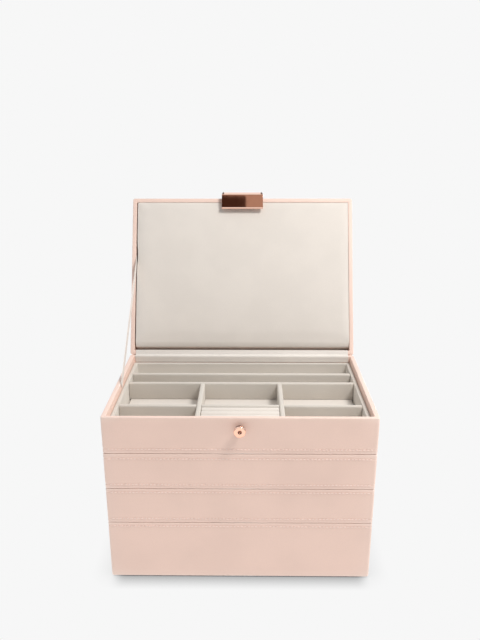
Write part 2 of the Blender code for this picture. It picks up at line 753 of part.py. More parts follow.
def make_plate(collection, tools, pivot, half, knuckle_half):
    """A rolled knuckle, a shoulder that clears the stud, a flat face and a flared finger lip."""
    face = -(STUD_REACH + CLASP_CLEARANCE + PLATE / 2 - PIN_STANDOFF)
    top = KNUCKLE_RADIUS - PLATE / 2
    lip_start = -PLATE_DROP + PLATE_LIP
    path = [(0, top)]
    path += arc((face + PLATE_SHOULDER, top - PLATE_SHOULDER), PLATE_SHOULDER, 90, 180, PLATE_ARC_STEPS)
    path += arc((face - PLATE_LIP_RADIUS, lip_start), PLATE_LIP_RADIUS, 0, PLATE_LIP_SWEEP, SMALL_ARC_STEPS)
    outline = offset_band(path, PLATE / 2)
    leaf = prism_from_outline("clasp_plate", outline, -half, half)
    plate = add_object("clasp_plate", leaf, collection, ROSE_GOLD, pivot)
    knuckle = rod("knuckle", KNUCKLE_RADIUS, (-half, 0, 0), (half, 0, 0), ROUND_SIDES)
    join(plate, add_tool("knuckle", knuckle, tools, pivot))
    reach = half + CUT_OVERRUN
    bore = rod("knuckle_bore", PIN_RADIUS + CLEARANCE, (-reach, 0, 0), (reach, 0, 0))
    cut(plate, add_tool("knuckle_bore", bore, tools, pivot))
    notch_low = -(EAR_RADIUS + CLEARANCE)
    for side, name in ((-1, "ear_notch_left"), (1, "ear_notch_right")):
        edges = sorted((side * knuckle_half, side * reach))
        notch = block(
            name,
            (edges[0], face - PLATE - CUT_OVERRUN, notch_low),
            (edges[1], KNUCKLE_RADIUS + CUT_OVERRUN, KNUCKLE_RADIUS + CUT_OVERRUN),
        )
        cut(plate, add_tool(name, notch, tools, pivot))


def main():
    """Builds the box from the base up, then the hinge, ribbon, lid and clasp."""
    clear_scene()
    parts = make_collection("tiered_jewelry_box")
    tools = make_collection("cutters")
    build_base(parts)
    build_lower_tray(parts)
    build_upper_tray(parts)
    build_top_box(parts, tools)
    hinge = add_empty("lid_hinge", parts, HINGE, -LID_OPEN_ANGLE)
    pivot = add_empty("clasp_hinge", parts, CLASP_PIN, CLASP_OPEN_ANGLE, hinge)
    build_lid(parts, tools, hinge)
    build_clasp(parts, tools, hinge, pivot)
    build_hinge(parts)
    build_ribbon(parts)
    bpy.context.view_layer.update()


main()
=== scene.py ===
"""Looks of a tiered jewellery box: leatherette shells, velvet linings, a padded lid and rose-gold fittings.

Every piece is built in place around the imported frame, in metres, +Z up, with the front towards -Y. Lid pieces
are drawn in the closed lid's own frame, whose origin is on the hinge axis, and then turned open with it.
"""

import json
import logging
import math
from collections.abc import Callable, Iterable, Sequence
from dataclasses import dataclass, field
from enum import Enum

import bmesh
import bpy
import numpy as np
from mathutils import Matrix, Vector


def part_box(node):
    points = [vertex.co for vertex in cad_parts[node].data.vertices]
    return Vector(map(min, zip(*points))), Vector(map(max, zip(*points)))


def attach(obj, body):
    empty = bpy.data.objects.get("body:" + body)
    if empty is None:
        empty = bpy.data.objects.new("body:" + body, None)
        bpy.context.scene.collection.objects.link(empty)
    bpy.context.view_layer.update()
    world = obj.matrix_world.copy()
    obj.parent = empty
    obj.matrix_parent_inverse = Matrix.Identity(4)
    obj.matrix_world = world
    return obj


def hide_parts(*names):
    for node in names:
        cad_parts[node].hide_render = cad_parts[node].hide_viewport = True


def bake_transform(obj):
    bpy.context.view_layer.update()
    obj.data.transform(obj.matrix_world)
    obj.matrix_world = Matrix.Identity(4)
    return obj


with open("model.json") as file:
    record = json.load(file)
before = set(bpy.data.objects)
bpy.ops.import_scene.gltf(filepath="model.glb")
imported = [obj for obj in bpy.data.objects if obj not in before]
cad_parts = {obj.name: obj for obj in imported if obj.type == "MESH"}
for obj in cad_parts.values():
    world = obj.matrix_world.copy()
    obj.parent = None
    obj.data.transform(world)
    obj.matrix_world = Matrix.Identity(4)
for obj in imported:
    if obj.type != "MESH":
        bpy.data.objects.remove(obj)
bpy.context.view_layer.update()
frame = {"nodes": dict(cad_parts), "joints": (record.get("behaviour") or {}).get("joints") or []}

log = logging.getLogger("jewellery_box")

Pair = tuple[float, float]
Colour = tuple[float, float, float]
Point = tuple[float, float, float]
Socket = bpy.types.NodeSocket

MM = 0.001
QUARTER = math.radians(90)
FORWARD = Matrix.Rotation(QUARTER, 4, "X")
SMOOTH_ANGLE = math.radians(35)
WELD = 1e-7
WHOLE: Pair = (0.0, 1.0)
MIDDLE: Pair = (0.35, 0.65)
WIDE: Pair = (0.3, 0.7)


class Along(Enum):
    """The axis that a board lies along."""

    X = 0
    Y = 1


class Slot(Enum):
    """The record's material slots."""

    LEATHERETTE = "blush_leatherette"
    VELVET = "velvet"
    SATIN = "satin_ribbon"
    FELT = "felt"
    ROSE_GOLD = "rose_gold"


def srgb(red: int, green: int, blue: int) -> Colour:
    """Linear colour of an 8-bit sRGB one."""
    share = np.array([red, green, blue]) / 255
    return tuple(np.where(share <= 0.04045, share / 12.92, ((share + 0.055) / 1.055) ** 2.4).tolist())


def shade(colour: Colour, factor: float) -> Colour:
    """The colour made lighter or darker by a factor."""
    return tuple(min(1.0, channel * factor) for channel in colour)


class Nodes:
    """A short way to write a node tree."""

    def __init__(self, tree: bpy.types.NodeTree) -> None:
        """Takes over the node tree of a material or world, and empties it."""
        self.tree = tree
        tree.nodes.clear()

    def add(self, kind: str, settings: dict | None = None, **inputs: object) -> bpy.types.Node:
        """Adds a node, with its settings and its inputs by name.

        Args:
            kind: The node's type, without the word ShaderNode.
            settings: The node's own properties.
            **inputs: Values or sockets for the inputs, with _ for a space, or inN for input number N.

        Returns:
            The new node.
        """
        node = self.tree.nodes.new("ShaderNode" + kind)
        for name, value in (settings or {}).items():
            setattr(node, name, value)
        for name, value in inputs.items():
            key = int(name[2:]) if name[:2] == "in" and name[2:].isdigit() else name.replace("_", " ")
            socket = node.inputs[key]
            if isinstance(value, Socket):
                self.tree.links.new(value, socket)
            elif isinstance(value, tuple) and len(value) == 3 and socket.type == "RGBA":
                socket.default_value = (*value, 1.0)
            else:
                socket.default_value = value
        return node

    def maths(self, operation: str, first: object, second: object = 0.0, third: object = 0.0) -> Socket:
        """The result of a Math node on up to three values or sockets."""
        return self.add("Math", {"operation": operation}, in0=first, in1=second, in2=third).outputs[0]

    def fit(self, value: object, band: Pair, onto: Pair = WHOLE) -> Socket:
        """A value's band mapped smoothly onto another.

        Args:
            value: A number or socket.
            band: The value's lowest and highest, past which it is held.
            onto: What these two become.

        Returns:
            The mapped value's socket.
        """
        node = self.add("MapRange", {"interpolation_type": "SMOOTHSTEP"}, Value=value)
        for key, number in zip(("From Min", "From Max", "To Min", "To Max"), (*band, *onto)):
            node.inputs[key].default_value = number
        return node.outputs[0]

    def blend(self, share: object, first: object, second: object) -> Socket:
        """A mix of two colours by a share."""
        return self.add("Mix", {"data_type": "RGBA"}, in0=share, in6=first, in7=second).outputs[2]

    def noise(self, vector: object, scale: float, detail: float = 2.0, roughness: float = 0.5) -> Socket:
        """A noise pattern's value."""
        inputs = {"Vector": vector, "Scale": scale, "Detail": detail, "Roughness": roughness}
        return self.add("TexNoise", None, **inputs).outputs[0]

    def bump(self, height: object, strength: float, depth: float) -> Socket:
        """The normal, bumped by a height."""
        return self.add("Bump", None, Height=height, Strength=strength, Distance=depth).outputs[0]

    def place(self) -> Socket:
        """The Object coordinates."""
        return self.add("TexCoord").outputs["Object"]


def new_material(name: str) -> tuple[bpy.types.Material, Nodes]:
    """An empty node material.

    Args:
        name: Its name.

    Returns:
        The material and its node writer.
    """
    material = bpy.data.materials.new(name)
    material.use_nodes = True
    return material, Nodes(material.node_tree)


@dataclass(frozen=True)
class Coat:
    """A finish as pieces wear it: its material, and the record's slot that it stands for."""

    material: bpy.types.Material
    slot: Slot


@dataclass(frozen=True)
class Finish:
    """A procedural finish, whose own class says how it looks.

    Args:
        name: Its material's name.
        colour: Its main colour, linear.
        slot: The record's slot that it stands for.
    """

    name: str
    colour: Colour
    slot: Slot

    def look(self, nodes: Nodes) -> dict[str, object]:
        """Writes the nodes that lead to the shader.

        Args:
            nodes: The material's node writer.

        Returns:
            The shader's inputs by name, with _ for a space.
        """
        raise NotImplementedError

    def coat(self) -> Coat:
        """Makes the material, which ends in a Principled shader.

        Returns:
            The finish as pieces wear it.
        """
        material, nodes = new_material(self.name)
        shader = nodes.add("BsdfPrincipled", None, **self.look(nodes))
        nodes.add("OutputMaterial", None, Surface=shader.outputs[0])
        return Coat(material, self.slot)


@dataclass(frozen=True)
class Leatherette(Finish):
    """Coated fabric with a fine pebble grain, softly mottled, and paler along its edges, partly from rubbing
    and partly as a painted highlight on the rims.
    """

    name: str = "blush_leatherette"
    colour: Colour = srgb(241, 210, 196)
    slot: Slot = Slot.LEATHERETTE
    # Pale colour of the edges: rubbed leather and a painted highlight on the rims.
    rub_and_highlight_colour: Colour = srgb(249, 236, 228)
    rub_and_highlight_band: Pair = (0.5, 0.56)
    rub_and_highlight_share: float = 0.8
    grain: float = 0.55 * MM
    grain_smoothness: float = 0.6
    grain_band: Pair = (0.1, 0.75)
    grain_share: float = 0.3
    grain_shade: float = 0.86
    grain_height: float = -0.75
    crease_height: float = 0.5
    crease_scale: float = 0.9
    cloud_scale: float = 16.0
    cloud_shades: Pair = (0.965, 1.02)
    detail: float = 3.0
    relief: float = 0.5
    depth: float = 0.05 * MM
    roughness: float = 0.52
    unevenness: float = 0.07
    specular: float = 0.42

    def look(self, nodes: Nodes) -> dict[str, object]:
        """Pebbles and creases over cloudy patches, paler where the surface stands out, for rubbing and a
        painted rim highlight.

        Args:
            nodes: The material's node writer.

        Returns:
            The shader's inputs by name.
        """
        place = nodes.place()
        voronoi = {"feature": "SMOOTH_F1"}
        size = {"Scale": 1 / self.grain, "Smoothness": self.grain_smoothness}
        pebbles = nodes.add("TexVoronoi", voronoi, Vector=place, **size).outputs["Distance"]
        creases = nodes.noise(place, self.crease_scale / self.grain, self.detail)
        patches = nodes.fit(nodes.noise(place, self.cloud_scale, self.detail), MIDDLE)
        # Where the surface stands out the colour pales: partly rubbing, partly a painted rim highlight.
        rub_and_highlight = nodes.fit(nodes.add("NewGeometry").outputs["Pointiness"], self.rub_and_highlight_band, (0.0, self.rub_and_highlight_share))
        speckle = nodes.maths("MULTIPLY", nodes.fit(pebbles, self.grain_band), self.grain_share)
        body = nodes.blend(patches, *(shade(self.colour, factor) for factor in self.cloud_shades))
        grained = nodes.blend(speckle, body, shade(self.colour, self.grain_shade))
        pebble_height = nodes.maths("MULTIPLY", pebbles, self.grain_height)
        height = nodes.maths("ADD", pebble_height, nodes.maths("MULTIPLY", creases, self.crease_height))
        rough = (self.roughness - self.unevenness, self.roughness + self.unevenness)
        return {
            "Base_Color": nodes.blend(rub_and_highlight, grained, self.rub_and_highlight_colour),
            "Roughness": nodes.fit(creases, WIDE, rough),
            "Normal": nodes.bump(height, self.relief, self.depth),
            "Specular_IOR_Level": self.specular,
        }


@dataclass(frozen=True)
class Velvet(Finish):
    """Short-pile fabric: fine fibres, a nap brushed in soft patches, and a pale sheen at grazing angles."""

    name: str = "velvet"
    colour: Colour = srgb(214, 208, 200)
    slot: Slot = Slot.VELVET
    fibre: float = 0.22 * MM
    fibre_stretch: Point = (1.0, 0.35, 0.35)
    fibre_roughness: float = 0.7
    fibre_shade: float = 0.88
    fibre_share: float = 0.4
    tuft_scale: float = 0.3
    tuft_height: float = 0.6
    nap_scale: float = 28.0
    nap_shades: Pair = (0.98, 1.015)
    relief: float = 0.45
    pile: float = 0.12 * MM
    roughness: Pair = (0.86, 0.98)
    specular: float = 0.12
    sheen: float = 0.25
    sheen_roughness: float = 0.45
    sheen_shade: float = 1.1

    def look(self, nodes: Nodes) -> dict[str, object]:
        """Stretched fibres over tufts, darker between the fibres, on a nap in patches.

        Args:
            nodes: The material's node writer.

        Returns:
            The shader's inputs by name.
        """
        place = nodes.place()
        stretched = nodes.add("Mapping", None, Vector=place, Scale=self.fibre_stretch).outputs[0]
        fibres = nodes.noise(stretched, 1 / self.fibre, roughness=self.fibre_roughness)
        tufts = nodes.noise(place, self.tuft_scale / self.fibre)
        brushed = nodes.fit(nodes.noise(place, self.nap_scale), MIDDLE)
        body = nodes.blend(brushed, *(shade(self.colour, factor) for factor in self.nap_shades))
        between = nodes.fit(fibres, MIDDLE, (0.0, self.fibre_share))
        height = nodes.maths("ADD", fibres, nodes.maths("MULTIPLY", tufts, self.tuft_height))
        return {
            "Base_Color": nodes.blend(between, body, shade(self.colour, self.fibre_shade)),
            "Roughness": nodes.fit(fibres, WIDE, self.roughness),
            "Normal": nodes.bump(height, self.relief, self.pile),
            "Specular_IOR_Level": self.specular,
            "Sheen_Weight": self.sheen,
            "Sheen_Roughness": self.sheen_roughness,
            "Sheen_Tint": shade(self.colour, self.sheen_shade),
        }


@dataclass(frozen=True)
class RoseGold(Finish):
    """Polished plated metal with hairline scratches, faint handling marks and painted shade darkening its
    recesses.
    """

    name: str = "rose_gold"
    colour: Colour = (0.87, 0.52, 0.39)
    slot: Slot = Slot.ROSE_GOLD
    # Colour of the painted shade in the recesses.
    recess_shade: Colour = (0.16, 0.05, 0.025)
    recess: float = 3.0 * MM
    recess_samples: int = 8
    recess_band: Pair = (0.55, 0.85)
    scratch_stretch: Point = (0.06, 1.0, 1.0)
    scratch_scale: float = 9000.0
    scratch_roughness: float = 0.6
    scratch_relief: float = 0.02
    scratch_depth: float = 0.01 * MM
    mark_scale: float = 220.0
    mark_detail: float = 3.0
    mark_band: Pair = (0.45, 0.75)
    mark_share: float = 0.2
    mark_shade: float = 0.88
    roughness: float = 0.02
    mark_roughness: float = 1.6

    def look(self, nodes: Nodes) -> dict[str, object]:
        """Combed scratches in the bump, marks in both colour and roughness, and painted shade in hollows.

        Args:
            nodes: The material's node writer.

        Returns:
            The shader's inputs by name.
        """
        place = nodes.place()
        combed = nodes.add("Mapping", None, Vector=place, Scale=self.scratch_stretch).outputs[0]
        scratches = nodes.noise(combed, self.scratch_scale, roughness=self.scratch_roughness)
        marks = nodes.noise(place, self.mark_scale, self.mark_detail)
        # Painted shade: the colour darkens where the piece's own shape closes in round a point.
        settings = {"only_local": True, "samples": self.recess_samples}
        hollow = nodes.add("AmbientOcclusion", settings, Distance=self.recess).outputs["AO"]
        recess_shading = nodes.fit(hollow, self.recess_band, (1.0, 0.0))
        marked = nodes.fit(marks, self.mark_band, (0.0, self.mark_share))
        body = nodes.blend(marked, self.colour, shade(self.colour, self.mark_shade))
        return {
            "Base_Color": nodes.blend(recess_shading, body, self.recess_shade),
            "Roughness": nodes.fit(marks, WIDE, (self.roughness, self.roughness * self.mark_roughness)),
            "Normal": nodes.bump(scratches, self.scratch_relief, self.scratch_depth),
            "Metallic": 1.0,
        }


@dataclass(frozen=True)
class Woven(Finish):
    """A fine weave on the piece's own flat map, whose unit is one metre of cloth, for ribbon and thread."""

    warp: float
    weft: float
    depth: float
    roughness: float
    unevenness: Pair = (-0.05, 0.08)
    distortion: float = 0.4
    weave_shade: float = 0.95
    slub_scale: float = 0.2
    slub_share: float = 0.3
    slub_shade: float = 0.93
    relief: float = 0.25
    sheen: float = 0.3
    sheen_roughness: float = 0.4

    def look(self, nodes: Nodes) -> dict[str, object]:
        """Waves along and across, multiplied, with slubs in colour and roughness.

        Args:
            nodes: The material's node writer.

        Returns:
            The shader's inputs by name.
        """
        flat = nodes.add("TexCoord").outputs["UV"]
        waves = [
            nodes.add(
                "TexWave", {"bands_direction": way}, Vector=flat, Scale=1 / size, Distortion=self.distortion
            ).outputs["Fac"]
            for way, size in (("X", self.warp), ("Y", self.weft))
        ]
        weave = nodes.maths("MULTIPLY", *waves)
        slubs = nodes.noise(flat, self.slub_scale / self.warp)
        body = nodes.blend(weave, shade(self.colour, self.weave_shade), self.colour)
        slubby = nodes.maths("MULTIPLY", slubs, self.slub_share)
        rough = tuple(self.roughness + change for change in self.unevenness)
        return {
            "Base_Color": nodes.blend(slubby, body, shade(self.colour, self.slub_shade)),
            "Roughness": nodes.fit(slubs, WIDE, rough),
            "Normal": nodes.bump(weave, self.relief, self.depth),
            "Sheen_Weight": self.sheen,
            "Sheen_Roughness": self.sheen_roughness,
        }


@dataclass(frozen=True)
class Felt(Finish):
    """Pressed wool: matted fibres in two depths and a dry surface."""

    name: str = "felt"
    colour: Colour = srgb(176, 160, 150)
    slot: Slot = Slot.FELT
    mat_scale: float = 1200.0
    mat_detail: float = 4.0
    mat_roughness: float = 0.75
    mat_shades: Pair = (0.75, 1.1)
    lump_scale: float = 180.0
    relief: float = 0.7
    depth: float = 0.2 * MM
    roughness: Pair = (0.9, 1.0)
    specular: float = 0.1
    sheen: float = 0.2

    def look(self, nodes: Nodes) -> dict[str, object]:
        """Fine matting in the colour, and both depths in the bump.

        Args:
            nodes: The material's node writer.

        Returns:
            The shader's inputs by name.
        """
        place = nodes.place()
        mat = nodes.noise(place, self.mat_scale, self.mat_detail, self.mat_roughness)
        lumps = nodes.noise(place, self.lump_scale)
        shades = (shade(self.colour, factor) for factor in self.mat_shades)
        return {
            "Base_Color": nodes.blend(nodes.fit(mat, MIDDLE), *shades),
            "Roughness": nodes.fit(lumps, WIDE, self.roughness),
            "Normal": nodes.bump(nodes.maths("ADD", mat, lumps), self.relief, self.depth),
            "Specular_IOR_Level": self.specular,
            "Sheen_Weight": self.sheen,
        }


def linked(name: str, data: bpy.types.ID) -> bpy.types.Object:
    """Puts a new object in the scene.

    Args:
        name: Its name.
        data: Its mesh, lamp or camera.

    Returns:
        The object.
    """
    made = bpy.data.objects.new(name, data)
    bpy.context.scene.collection.objects.link(made)
    return made


def coords(mesh: bpy.types.Mesh) -> np.ndarray:
    """A mesh's points.

    Args:
        mesh: The mesh.

    Returns:
        One row of x, y, z for each vertex.
    """
    points = np.zeros(len(mesh.vertices) * 3)
    mesh.vertices.foreach_get("co", points)
    return points.reshape(-1, 3)


def smoothed(mesh: bpy.types.Mesh) -> None:
    """Shades a mesh smooth, but for its sharp edges."""
    mesh.shade_smooth()
    mesh.set_sharp_from_angle(angle=SMOOTH_ANGLE)


def face_outwards(mesh: bpy.types.Mesh) -> None:
    """Turns a mesh's faces outwards.

    Args:
        mesh: The closed mesh.
    """
    work = bmesh.new()
    work.from_mesh(mesh)
    bmesh.ops.recalc_face_normals(work, faces=work.faces)
    work.to_mesh(mesh)
    work.free()


@dataclass
class Surface:
    """A mesh as whole arrays.

    Args:
        points: One row of x, y, z for each vertex.
        quads: One row of four vertex numbers for each face.
        caps: The vertex numbers of each flat closing face.
        flat: Each vertex's place on the unrolled cloth, in metres, where the finish follows the surface.
    """

    points: np.ndarray
    quads: np.ndarray
    caps: list[np.ndarray] = field(default_factory=list)
    flat: np.ndarray | None = None

    def placed(self, place: Matrix) -> "Surface":
        """The same surface turned and moved.

        Args:
            place: The matrix that each point is multiplied by.

        Returns:
            The moved surface.
        """
        matrix = np.array(place)
        points = self.points @ matrix[:3, :3].T + matrix[:3, 3]
        return Surface(points, self.quads, self.caps, self.flat)

    def bare(self) -> "Surface":
        """The same surface without its place on the unrolled cloth."""
        return Surface(self.points, self.quads, self.caps)

    def welded(self) -> "Surface":
        """The same surface with each shared vertex kept once.

        Returns:
            A surface whose points are unique on a grid of the weld distance.
        """
        keys = np.round(self.points / WELD).astype(np.int64)
        _, first, number = np.unique(keys, axis=0, return_index=True, return_inverse=True)
        number = number.ravel()
        return Surface(self.points[first], number[self.quads], [number[cap] for cap in self.caps])

    def object(self, name: str, finish: bpy.types.Material) -> bpy.types.Object:
        """Makes the Blender object, with outward faces, smooth curves and its finish.

        Args:
            name: The piece's name.
            finish: Its material.

        Returns:
            The object, at the origin, with its place in its mesh.
        """
        mesh = bpy.data.meshes.new(name)
        faces = self.quads.tolist() + [cap.tolist() for cap in self.caps]
        mesh.from_pydata(self.points.tolist(), [], faces)
        if self.flat is not None:
            corners = np.zeros(len(mesh.loops), np.int32)
            mesh.loops.foreach_get("vertex_index", corners)
            layer = mesh.uv_layers.new(name="cloth")
            layer.data.foreach_set("uv", self.flat[corners].astype(np.float32).ravel())
        face_outwards(mesh)
        smoothed(mesh)
        mesh.materials.append(finish)
        return linked(name, mesh)


def grid_quads(rows: int, columns: int, wraps: bool = True) -> np.ndarray:
    """Faces between neighbouring rows of a grid of vertices that is numbered row by row.

    Args:
        rows: How many rows of vertices there are.
        columns: How many vertices a row has.
        wraps: Whether the last column meets the first.

    Returns:
        One row of four vertex numbers for each face.
    """
    row = np.arange(rows - 1)[:, None] * columns
    column = np.arange(columns if wraps else columns - 1)[None, :]
    after = (column + 1) % columns
    faces = [row + column, row + after, row + columns + after, row + columns + column]
    return np.stack(faces, -1).reshape(-1, 4)


def tube(rings: np.ndarray, unrolled: Sequence[np.ndarray] = ()) -> Surface:
    """A closed solid through rings of points, with a flat cap on the first and the last.

    Args:
        rings: The points, by ring and by their place in it.
        unrolled: The two places of the points on the unrolled cloth, as arrays that spread over all rings.

    Returns:
        The solid.
    """
    rows, columns = rings.shape[:2]
    ring = np.arange(columns)
    flat = np.stack(np.broadcast_arrays(*unrolled), -1).reshape(-1, 2) if len(unrolled) else None
    caps = [ring[::-1], ring + (rows - 1) * columns]
    return Surface(rings.reshape(-1, 3), grid_quads(rows, columns), caps, flat)


def joined(surfaces: Sequence[Surface]) -> Surface:
    """Several surfaces as one, each with its vertex numbers moved past those before it.

    Args:
        surfaces: The surfaces, of which all or none have a flat map.

    Returns:
        The one surface.
    """
    shift = np.cumsum([0] + [len(part.points) for part in surfaces])
    quads = np.concatenate([part.quads + move for part, move in zip(surfaces, shift)])
    caps = [cap + move for part, move in zip(surfaces, shift) for cap in part.caps]
    flat = None if surfaces[0].flat is None else np.concatenate([part.flat for part in surfaces])
    return Surface(np.concatenate([part.points for part in surfaces]), quads, caps, flat)


def arc(centre: Sequence[float], radius: float, start: float, end: float, steps: int) -> np.ndarray:
    """Points on a circle: the centre plus the radius times the cosine and sine of evenly spaced angles.

    Args:
        centre: The circle's centre on the plane.
        radius: Its radius.
        start: The first angle in degrees.
        end: The last angle in degrees.
        steps: How many steps lie between them.

    Returns:
        One row of two numbers for each point.
    """
    turn = np.radians(np.linspace(start, end, steps + 1))
    return np.asarray(centre) + radius * np.stack([np.cos(turn), np.sin(turn)], -1)


def upright(place: float, low: float, high: float, steps: int = 5) -> np.ndarray:
    """Evenly spaced points of an upright line: its place, and heights from low to high."""
    return np.stack([np.full(steps + 1, place), np.linspace(low, high, steps + 1)], -1)


def smooth_path(points: Sequence[Sequence[float]], steps: int) -> np.ndarray:
    """A Bezier curve: its control points weighted by the binomial shares of the distance along it.

    Args:
        points: Four control points on the plane.
        steps: How many steps the curve has.

    Returns:
        One row of two numbers for each point.
    """
    t = np.linspace(0, 1, steps + 1)[:, None]
    a, b, c, d = (np.asarray(point) for point in points)
    return (1 - t) ** 3 * a + 3 * (1 - t) ** 2 * t * b + 3 * (1 - t) * t**2 * c + t**3 * d


def loop_normals(loop: np.ndarray) -> np.ndarray:
    """Outward unit normals of a loop: the chord between each point's two neighbours, turned a quarter.

    Args:
        loop: The closed loop's points, anticlockwise.

    Returns:
        One normal for each point.
    """
    chord = np.roll(loop, -1, 0) - np.roll(loop, 1, 0)
    normal = np.stack([chord[:, 1], -chord[:, 0]], -1)
    return normal / np.linalg.norm(normal, axis=1, keepdims=True)


def extrude(loop: np.ndarray, low: float, high: float, end_round: float = 0.0, steps: int = 3) -> Surface:
    """Carries a closed loop of (y, z) points along X between two ends.

    Near each end the loop is drawn in along its normals by the end radius times one less the sine of an
    angle, while it moves by one less the cosine, so that the end's edge is a quarter round.

    Args:
        loop: The outline, anticlockwise as seen with y to the right and z up.
        low: Where it starts on X.
        high: Where it ends on X.
        end_round: The radius of the ends' edges.
        steps: How many steps the quarter round has.

    Returns:
        The closed solid, with its X and its unrolled length round the loop as the flat map.
    """
    turn = np.linspace(0, np.pi / 2, steps + 1) if end_round else np.zeros(1)
    travel = end_round * (1 - np.cos(turn))
    inset = end_round * (1 - np.sin(turn))
    place = np.concatenate([low + travel, (high - travel)[::-1]])
    drawn = np.concatenate([inset, inset[::-1]])
    rings = loop[None] - drawn[:, None, None] * loop_normals(loop)[None]
    points = np.concatenate([np.broadcast_to(place[:, None, None], (*rings.shape[:2], 1)), rings], -1)
    step = np.linalg.norm(np.diff(loop, axis=0), axis=1)
    girth = np.concatenate([[0], np.cumsum(step)])
    return tube(points, (place[:, None], girth[None]))


def band(path: np.ndarray, thickness: float, end_steps: int = 4) -> np.ndarray:
    """The closed outline of a sheet along a path, with half-round ends.

    Either side is the path plus or minus half the thickness along its normals, which are the path's own
    gradient turned a quarter, and each end is half a circle about the path's end.

    Args:
        path: Points along the sheet's middle.
        thickness: The sheet's thickness.
        end_steps: How many steps each half-round end has.

    Returns:
        The outline's points, anticlockwise.
    """
    slope = np.gradient(path, axis=0)
    slope /= np.linalg.norm(slope, axis=1, keepdims=True)
    normal = np.stack([-slope[:, 1], slope[:, 0]], -1)
    half = thickness / 2
    heading = np.degrees(np.arctan2(slope[:, 1], slope[:, 0]))
    far = arc(path[-1], half, heading[-1] - 90, heading[-1] + 90, end_steps)[1:-1]
    near = arc(path[0], half, heading[0] + 90, heading[0] + 270, end_steps)[1:-1]
    return np.concatenate([path - half * normal, far, (path + half * normal)[::-1], near])


def turned(profile: np.ndarray, sides: int) -> Surface:
    """A solid of revolution: each radius times the cosine and sine of every angle, at its height on Z.

    Args:
        profile: Points of (radius, height), with a small first and last radius where the ends are closed.
        sides: How many sides the solid has.

    Returns:
        The solid about its own Z, closed by a flat cap at each end.
    """
    angle = np.linspace(0, 2 * np.pi, sides, endpoint=False)
    radius, height = profile[:, :1], profile[:, 1:]
    return tube(np.stack([radius * np.cos(angle), radius * np.sin(angle), height + 0 * angle], -1))


def rounded_block(
    low: Sequence[float],
    high: Sequence[float],
    radius: float,
    steps: int = 3,
    spans: int | tuple[int, int, int] = 6,
) -> Surface:
    """A block with round edges and corners.

    Each face is a grid whose outer steps have slopes from minus one to one. A point is the nearest point of
    the core, which is the block less the radius, plus the radius times the unit direction of those slopes.

    Args:
        low: Lowest corner.
        high: Highest corner.
        radius: Radius of the edges.
        steps: How many steps half an edge's round has.
        spans: How many spans the flat part has, on every axis or on each.

    Returns:
        The closed block.
    """
    low, high = np.asarray(low, float), np.asarray(high, float)
    centre, core = (low + high) / 2, (high - low) / 2 - radius
    counts = (spans,) * 3 if isinstance(spans, int) else spans
    edge, ends = np.tan(np.linspace(0, np.pi / 4, steps + 1)), np.ones(steps + 1)
    slopes = [np.concatenate([-edge[::-1], np.zeros(count - 1), edge]) for count in counts]
    shares = [np.concatenate([-ends, np.linspace(-1, 1, count + 1)[1:-1], ends]) for count in counts]
    points, quads, total = [], [], 0
    for axis in range(3):
        across, along = (axis + 1) % 3, (axis + 2) % 3
        rows, columns = len(slopes[across]), len(slopes[along])
        for side in (-1, 1):
            place, way = np.zeros((2, rows, columns, 3))
            place[..., axis], way[..., axis] = side, side
            place[..., across], way[..., across] = shares[across][:, None], slopes[across][:, None]
            place[..., along], way[..., along] = shares[along][None], slopes[along][None]
            way /= np.linalg.norm(way, axis=-1, keepdims=True)
            points.append((centre + place * core + radius * way).reshape(-1, 3))
            quads.append(grid_quads(rows, columns, wraps=False) + total)
            total += rows * columns
    return Surface(np.concatenate(points), np.concatenate(quads)).welded()


